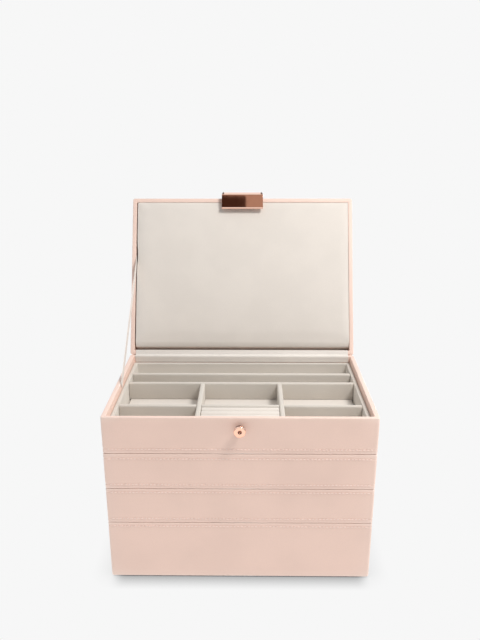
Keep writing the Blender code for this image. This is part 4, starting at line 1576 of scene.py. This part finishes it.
@dataclass
class SoftHinge(Part):
    """The leatherette strip outside, the velvet lining inside and the satin ribbon that stops the lid."""

    strip: float = 0.6 * MM
    strip_off: float = 0.08 * MM
    strip_lap: float = 14 * MM
    strip_fold: float = 4 * MM
    strip_end: float = 0.2 * MM
    strip_bend: float = 1.6 * MM
    lining: float = 0.5 * MM
    lining_off: float = 0.12 * MM
    lining_corner: float = 1.1 * MM
    lining_foot: float = 0.1 * MM
    lining_top: float = 5.2 * MM
    lining_end: float = 0.15 * MM
    lining_curve: tuple[float, ...] = (0.5 * MM, 0.4 * MM, 0.2 * MM, 1.0 * MM)
    lining_bend: Pair = (0.8 * MM, 1.2 * MM)
    ribbon: float = 0.3 * MM
    ribbon_width: float = 8 * MM
    ribbon_lines: tuple[float, ...] = (-1.0, -0.5, 0.5, 1.0)
    ribbon_steps: int = 60

    def build(self) -> None:
        """Builds the three fabric pieces that cross the hinge."""
        self.build_strip()
        self.build_lining()
        self.build_ribbon()

    def lid_points(self, places: Iterable[Sequence[float]]) -> list[Pair]:
        """World (y, z) at rest of lid points, from their (distance forward of the hinge, height), closed."""
        points = (self.shop.from_lid() @ Vector((0, -forward, rise)) for forward, rise in places)
        return [(point.y, point.z) for point in points]

    def build_strip(self) -> None:
        """The strip glued up the box's back and over the fold to the lid's back."""
        shop = self.shop
        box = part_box("top_box_shell")[1]
        lid_low, lid_high = shop.lid_box("lid_shell")
        off = self.strip_off + self.strip / 2
        back, forward = box.y + off, -lid_high[1] - off
        foot, rise = box.z - self.strip_fold, lid_low[2] + self.strip_fold
        lid_ends = self.lid_points([(forward, lid_low[2]), (forward, rise)])
        path = np.concatenate(
            [
                upright(back, box.z - self.strip_lap, foot)[:-1],
                smooth_path([(back, foot), (back, box.z), *lid_ends], steps=16),
                self.lid_points(upright(forward, rise, self.strip_lap))[1:],
            ]
        )
        low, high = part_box("hinge_strip")
        surface = extrude(band(path, self.strip), low.x, high.x, self.strip_end)
        strip = shop.add("hinge_strip_leather", surface, shop.strip_leather, None, "hinge_strip")
        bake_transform(strip)

    def build_lining(self) -> None:
        """The lining that covers the hinge inside, from the box's recess over both rims to the lid's wall."""
        shop = self.shop
        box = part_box("top_box_shell")[1]
        lid_low, lid_high = shop.lid_box("lid_shell")
        low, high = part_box("hinge_lining")
        off, wall, corner = self.lining_off + self.lining / 2, Lid.wall, self.lining_corner
        inner, over = box.y - wall - off, box.z + off
        lid_inner, lid_rim = wall - lid_high[1] + off, lid_low[2] - off
        leaves, before, after, meets = self.lining_curve
        box_ends = [(inner + corner + leaves, over), (box.y - before, over)]
        lid_ends = self.lid_points([(after, lid_rim), (meets, lid_rim)])
        lid_corner = arc((corner - lid_inner, lid_rim + corner), corner, -90, -180, steps=6) * (-1, 1)
        path = np.concatenate(
            [
                upright(inner, low.z - self.lining_foot, over - corner)[:-1],
                arc((inner + corner, over - corner), corner, 180, 90, steps=6),
                smooth_path([*box_ends, *lid_ends], steps=10),
                self.lid_points(lid_corner),
                self.lid_points(upright(lid_inner, lid_rim + corner, self.lining_top, steps=4))[1:],
            ]
        )
        surface = extrude(band(path, self.lining), low.x, high.x, self.lining_end)
        # The lining wears a lighter velvet: painted light.
        lining = shop.add("hinge_lining_velvet", surface, shop.lit_lining_velvet, None, "hinge_lining")
        along = (shop.from_lid().to_3x3() @ Vector((0, -1, 0))).normalized()
        before, after = self.lining_bend
        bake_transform(lining)

    def build_ribbon(self) -> None:
        """The taut ribbon, carried on a straight line between its two glued ends."""
        shop = self.shop
        low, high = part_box("ribbon_stay")
        points = coords(frame["nodes"]["ribbon_stay"].data)[:, 1:]
        total = points.sum(1)
        near, far = points[total < np.median(total)].mean(0), points[total > np.median(total)].mean(0)
        length = np.linalg.norm(far - near)
        way = (far - near) / length
        side = np.array([-way[1], way[0]])
        share = np.linspace(0, 1, self.ribbon_steps + 1)[:, None]
        width, count = self.ribbon_width, len(self.ribbon_lines)
        places = np.array(self.ribbon_lines)[:, None] * width / 2
        rows = (near + share * (far - near))[:, None] + side * places
        centre = (low.x + high.x) / 2
        front, back = (
            np.concatenate([np.full((*rows.shape[:2], 1), centre + shift), rows], -1)
            for shift in (-self.ribbon / 2, self.ribbon / 2)
        )
        across = np.concatenate([np.linspace(0, width, count), np.linspace(width, 0, count)])
        surface = tube(np.concatenate([front, back[:, ::-1]], 1), (across[None], share * length))
        ribbon = shop.add("ribbon_stay_satin", surface, shop.satin, None, "ribbon_stay")
        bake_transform(ribbon)


@dataclass(frozen=True)
class PhotoCamera:
    """The camera fitted to the photograph's edges, in a frame of 480 by 640 pixels."""

    focal: float = 731.4
    centre: Pair = (240.0, 400.0)
    frame: tuple[int, int] = (480, 640)
    place: Point = (0.0077, -0.6899, 0.4228)
    pitch: float = math.radians(21.5745)
    yaw: float = math.radians(-0.716)
    roll: float = math.radians(0.0786)
    sensor: float = 36.0
    clip: Pair = (0.01, 50.0)

    def build(self) -> None:
        """Makes the camera, which looks along +Y, turned down by the pitch, and sets it as the scene's."""
        width, height = self.frame
        camera = bpy.data.cameras.new("photo_camera")
        camera.sensor_fit = "HORIZONTAL"
        camera.sensor_width = self.sensor
        camera.lens = self.sensor * self.focal / width
        camera.shift_x = (width / 2 - self.centre[0]) / width
        camera.shift_y = (self.centre[1] - height / 2) / width
        camera.clip_start, camera.clip_end = self.clip
        turns = ((-self.yaw, "Z"), (QUARTER - self.pitch, "X"), (-self.roll, "Z"))
        place = Matrix.Translation(self.place)
        for angle, axis in turns:
            place @= Matrix.Rotation(angle, 4, axis)
        holder = linked("photo_camera", camera)
        holder.matrix_world = place
        bpy.context.scene.camera = holder


@dataclass(frozen=True)
class Studio:
    """A white table that glows softly, a compact key above on the right and a pale room.

    Directions of the room are in degrees, sideways from the front and up from the horizon.
    """

    tone: Colour = srgb(247, 247, 247)
    target: Point = (0.0, 0.05, 0.22)
    key_place: Point = (0.403, -0.275, 0.9155)
    key_size: float = 0.234
    key_power: float = 5.4
    key_colour: Colour = (1.0, 0.975, 0.94)
    floor_size: float = 3.0
    table: float = 1.3
    table_colour: Colour = (1.0, 0.99, 0.98)
    contact: float = 22 * MM
    contact_samples: int = 16
    contact_sides: Pair = (0.112, 0.128)
    side_shadow: float = 0.25
    room: Pair = (0.53, 1.08)
    room_rise: Pair = (10.0, 30.0)
    behind: float = 1.1
    behind_band: Pair = (-0.1, 0.3)
    cool: Pair = (1.22, 1.36)
    warm: Colour = (0.48, 0.37, 0.31)
    warm_aside: Pair = (14.0, 20.0)
    warm_middle: float = 47.0
    warm_above: Pair = (7.0, 11.0)
    fill: float = 0.26
    fill_above: float = 0.38
    fill_aside: float = 0.45
    fill_right: float = 0.12
    fill_front: float = -0.42
    dark: Colour = (0.06, 0.03, 0.02)
    dark_corner: Pair = (-0.35, 47.44)
    dark_radius: float = 0.22
    dark_edge: Pair = (-0.04, 0.04)
    dark_left: Pair = (-4.89, -3.89)
    dark_bottom: Pair = (43.87, 44.87)

    def build(self) -> None:
        """Makes the floor, the lamp and the world."""
        self.build_floor()
        self.build_key()
        self.build_world()
        bpy.context.scene.view_settings.view_transform = "Standard"

    def build_key(self) -> None:
        """The lamp, which faces the box from the upper right."""
        light = bpy.data.lights.new("key", "AREA")
        light.shape, light.size, light.energy = "SQUARE", self.key_size, self.key_power
        light.color = self.key_colour
        holder = linked("key", light)
        holder.location = self.key_place
        way = Vector(self.key_place) - Vector(self.target)
        holder.rotation_euler = way.to_track_quat("Z", "Y").to_euler()

    def build_floor(self) -> None:
        """The table: pale to the camera, shaded where the box stands close, and glowing for other rays."""
        half = self.floor_size / 2
        material, nodes = new_material("studio_floor")
        across = nodes.maths("ABSOLUTE", nodes.add("SeparateXYZ", None, Vector=nodes.place()).outputs["X"])
        side = nodes.fit(across, self.contact_sides, (1.0, self.side_shadow))
        samples = {"samples": self.contact_samples}
        open_sky = nodes.add("AmbientOcclusion", samples, Distance=self.contact).outputs["AO"]
        shaded = nodes.maths("MULTIPLY", nodes.maths("SUBTRACT", 1.0, open_sky), side)
        seen = nodes.add("Emission", None, Color=nodes.blend(shaded, self.tone, (0.0, 0.0, 0.0))).outputs[0]
        glow = nodes.add("Emission", None, Color=self.table_colour, Strength=self.table).outputs[0]
        ray = nodes.add("LightPath").outputs["Is Camera Ray"]
        mix = nodes.add("MixShader", None, in0=ray, in1=glow, in2=seen).outputs[0]
        nodes.add("OutputMaterial", None, Surface=mix)
        mesh = bpy.data.meshes.new("studio_floor")
        corners = [(-half, -half, 0.0), (half, -half, 0.0), (half, half, 0.0), (-half, half, 0.0)]
        mesh.from_pydata(corners, [], [(0, 1, 2, 3)])
        mesh.materials.append(material)
        linked("studio_floor", mesh)

    def build_world(self) -> None:
        """The room: pale to the camera, an even glow for the box's cloth, and a shaped room for its polish.

        In the polish the room is bright overhead and behind, and warm in front, with a dark corner there.
        The glow grows with the height and the distance aside, more so on the right, and falls in front.
        """
        world = bpy.data.worlds.new("studio")
        bpy.context.scene.world = world
        world.use_nodes = True
        nodes = Nodes(world.node_tree)
        ray = nodes.add("LightPath").outputs
        parts = nodes.add("SeparateXYZ", None, Vector=nodes.add("TexCoord").outputs["Generated"]).outputs
        right, height = parts["X"], parts["Z"]
        front = nodes.maths("MULTIPLY", parts["Y"], -1.0)
        aside = nodes.maths("DEGREES", nodes.maths("ARCTAN2", right, front))
        above = nodes.maths("DEGREES", nodes.maths("ARCSINE", height))
        overhead = nodes.fit(above, self.room_rise, self.room)
        behind = nodes.fit(parts["Y"], self.behind_band, (0.0, self.behind))
        overhead = nodes.maths("MAXIMUM", overhead, behind)
        green, blue = (nodes.maths("MULTIPLY", overhead, share) for share in self.cool)
        room = nodes.add("CombineColor", None, Red=overhead, Green=green, Blue=blue).outputs[0]
        facing = nodes.fit(nodes.maths("ABSOLUTE", aside), self.warm_aside, (1.0, 0.0))
        off = nodes.maths("ABSOLUTE", nodes.maths("SUBTRACT", above, self.warm_middle))
        high = nodes.fit(off, self.warm_above, (1.0, 0.0))
        warm = nodes.blend(nodes.maths("MULTIPLY", facing, high), room, self.warm)
        polish = nodes.blend(self.corner(nodes, aside, above), warm, self.dark)
        fill = self.fill
        for way, strength in (
            (nodes.maths("MAXIMUM", height, 0.0), self.fill_above),
            (nodes.maths("ABSOLUTE", right), self.fill_aside),
            (right, self.fill_right),
            (nodes.maths("MAXIMUM", front, 0.0), self.fill_front),
        ):
            fill = nodes.maths("MULTIPLY_ADD", way, strength, fill)
        cloth = nodes.add("CombineColor", None, Red=fill, Green=fill, Blue=fill).outputs[0]
        even = nodes.blend(ray["Is Glossy Ray"], cloth, polish)
        background = nodes.add("Background", None, Color=nodes.blend(ray["Is Camera Ray"], even, self.tone))
        nodes.add("OutputWorld", None, Surface=background.outputs[0])

    def corner(self, nodes: Nodes, aside: object, above: object) -> Socket:
        """The dark shape that the clasp mirrors: a corner with a round point at its upper right.

        The distance from it is the length of what lies past the point's centre each way, less its radius.

        Args:
            nodes: The world's node writer.
            aside: Degrees sideways from the front.
            above: Degrees up from the horizon.

        Returns:
            A share that is one inside the shape.
        """
        past = [
            nodes.maths("MAXIMUM", nodes.maths("ADD", value, self.dark_radius - edge), 0.0)
            for value, edge in zip((aside, above), self.dark_corner)
        ]
        squares = [nodes.maths("MULTIPLY", value, value) for value in past]
        away = nodes.maths("SUBTRACT", nodes.maths("SQRT", nodes.maths("ADD", *squares)), self.dark_radius)
        inside = nodes.fit(away, self.dark_edge, (1.0, 0.0))
        left, bottom = nodes.fit(aside, self.dark_left), nodes.fit(above, self.dark_bottom)
        return nodes.maths("MULTIPLY", inside, nodes.maths("MULTIPLY", left, bottom))


ROWS = ("front", "rear")
UPPER_DIVIDERS = tuple(f"upper_tray_{row}_divider_{number}" for row in ROWS for number in (1, 2, 3))
TOP_DIVIDERS = tuple(f"{place}_divider" for place in ("rear", "mid", "left", "right"))
FRONT_DIVIDERS = tuple(f"front_divider_{place}" for place in ("left", "middle", "right"))
TIERS = (
    ("base", (-3.7 * MM,), ("base_divider",)),
    ("lower_tray", (4.3 * MM, -3.6 * MM), ("lower_tray_divider_left", "lower_tray_divider_right")),
    ("upper_tray", (4.3 * MM, -5.0 * MM), ("upper_tray_cross_divider", *UPPER_DIVIDERS)),
    ("top_box", (4.4 * MM,), TOP_DIVIDERS + FRONT_DIVIDERS),
)


def main() -> None:
    """Builds the scene in order: camera and studio, then the box from its foot to its clasp."""
    logging.basicConfig(level=logging.INFO, format="%(message)s")
    PhotoCamera().build()
    Studio().build()
    shop = Workshop()
    BaseFelt(shop).build()
    for tier in TIERS:
        Tier(shop, *tier).build()
    for part in (RingRolls, Stud, Lid, Clasp, SoftHinge):
        part(shop).build()


if __name__ == "__main__":
    main()
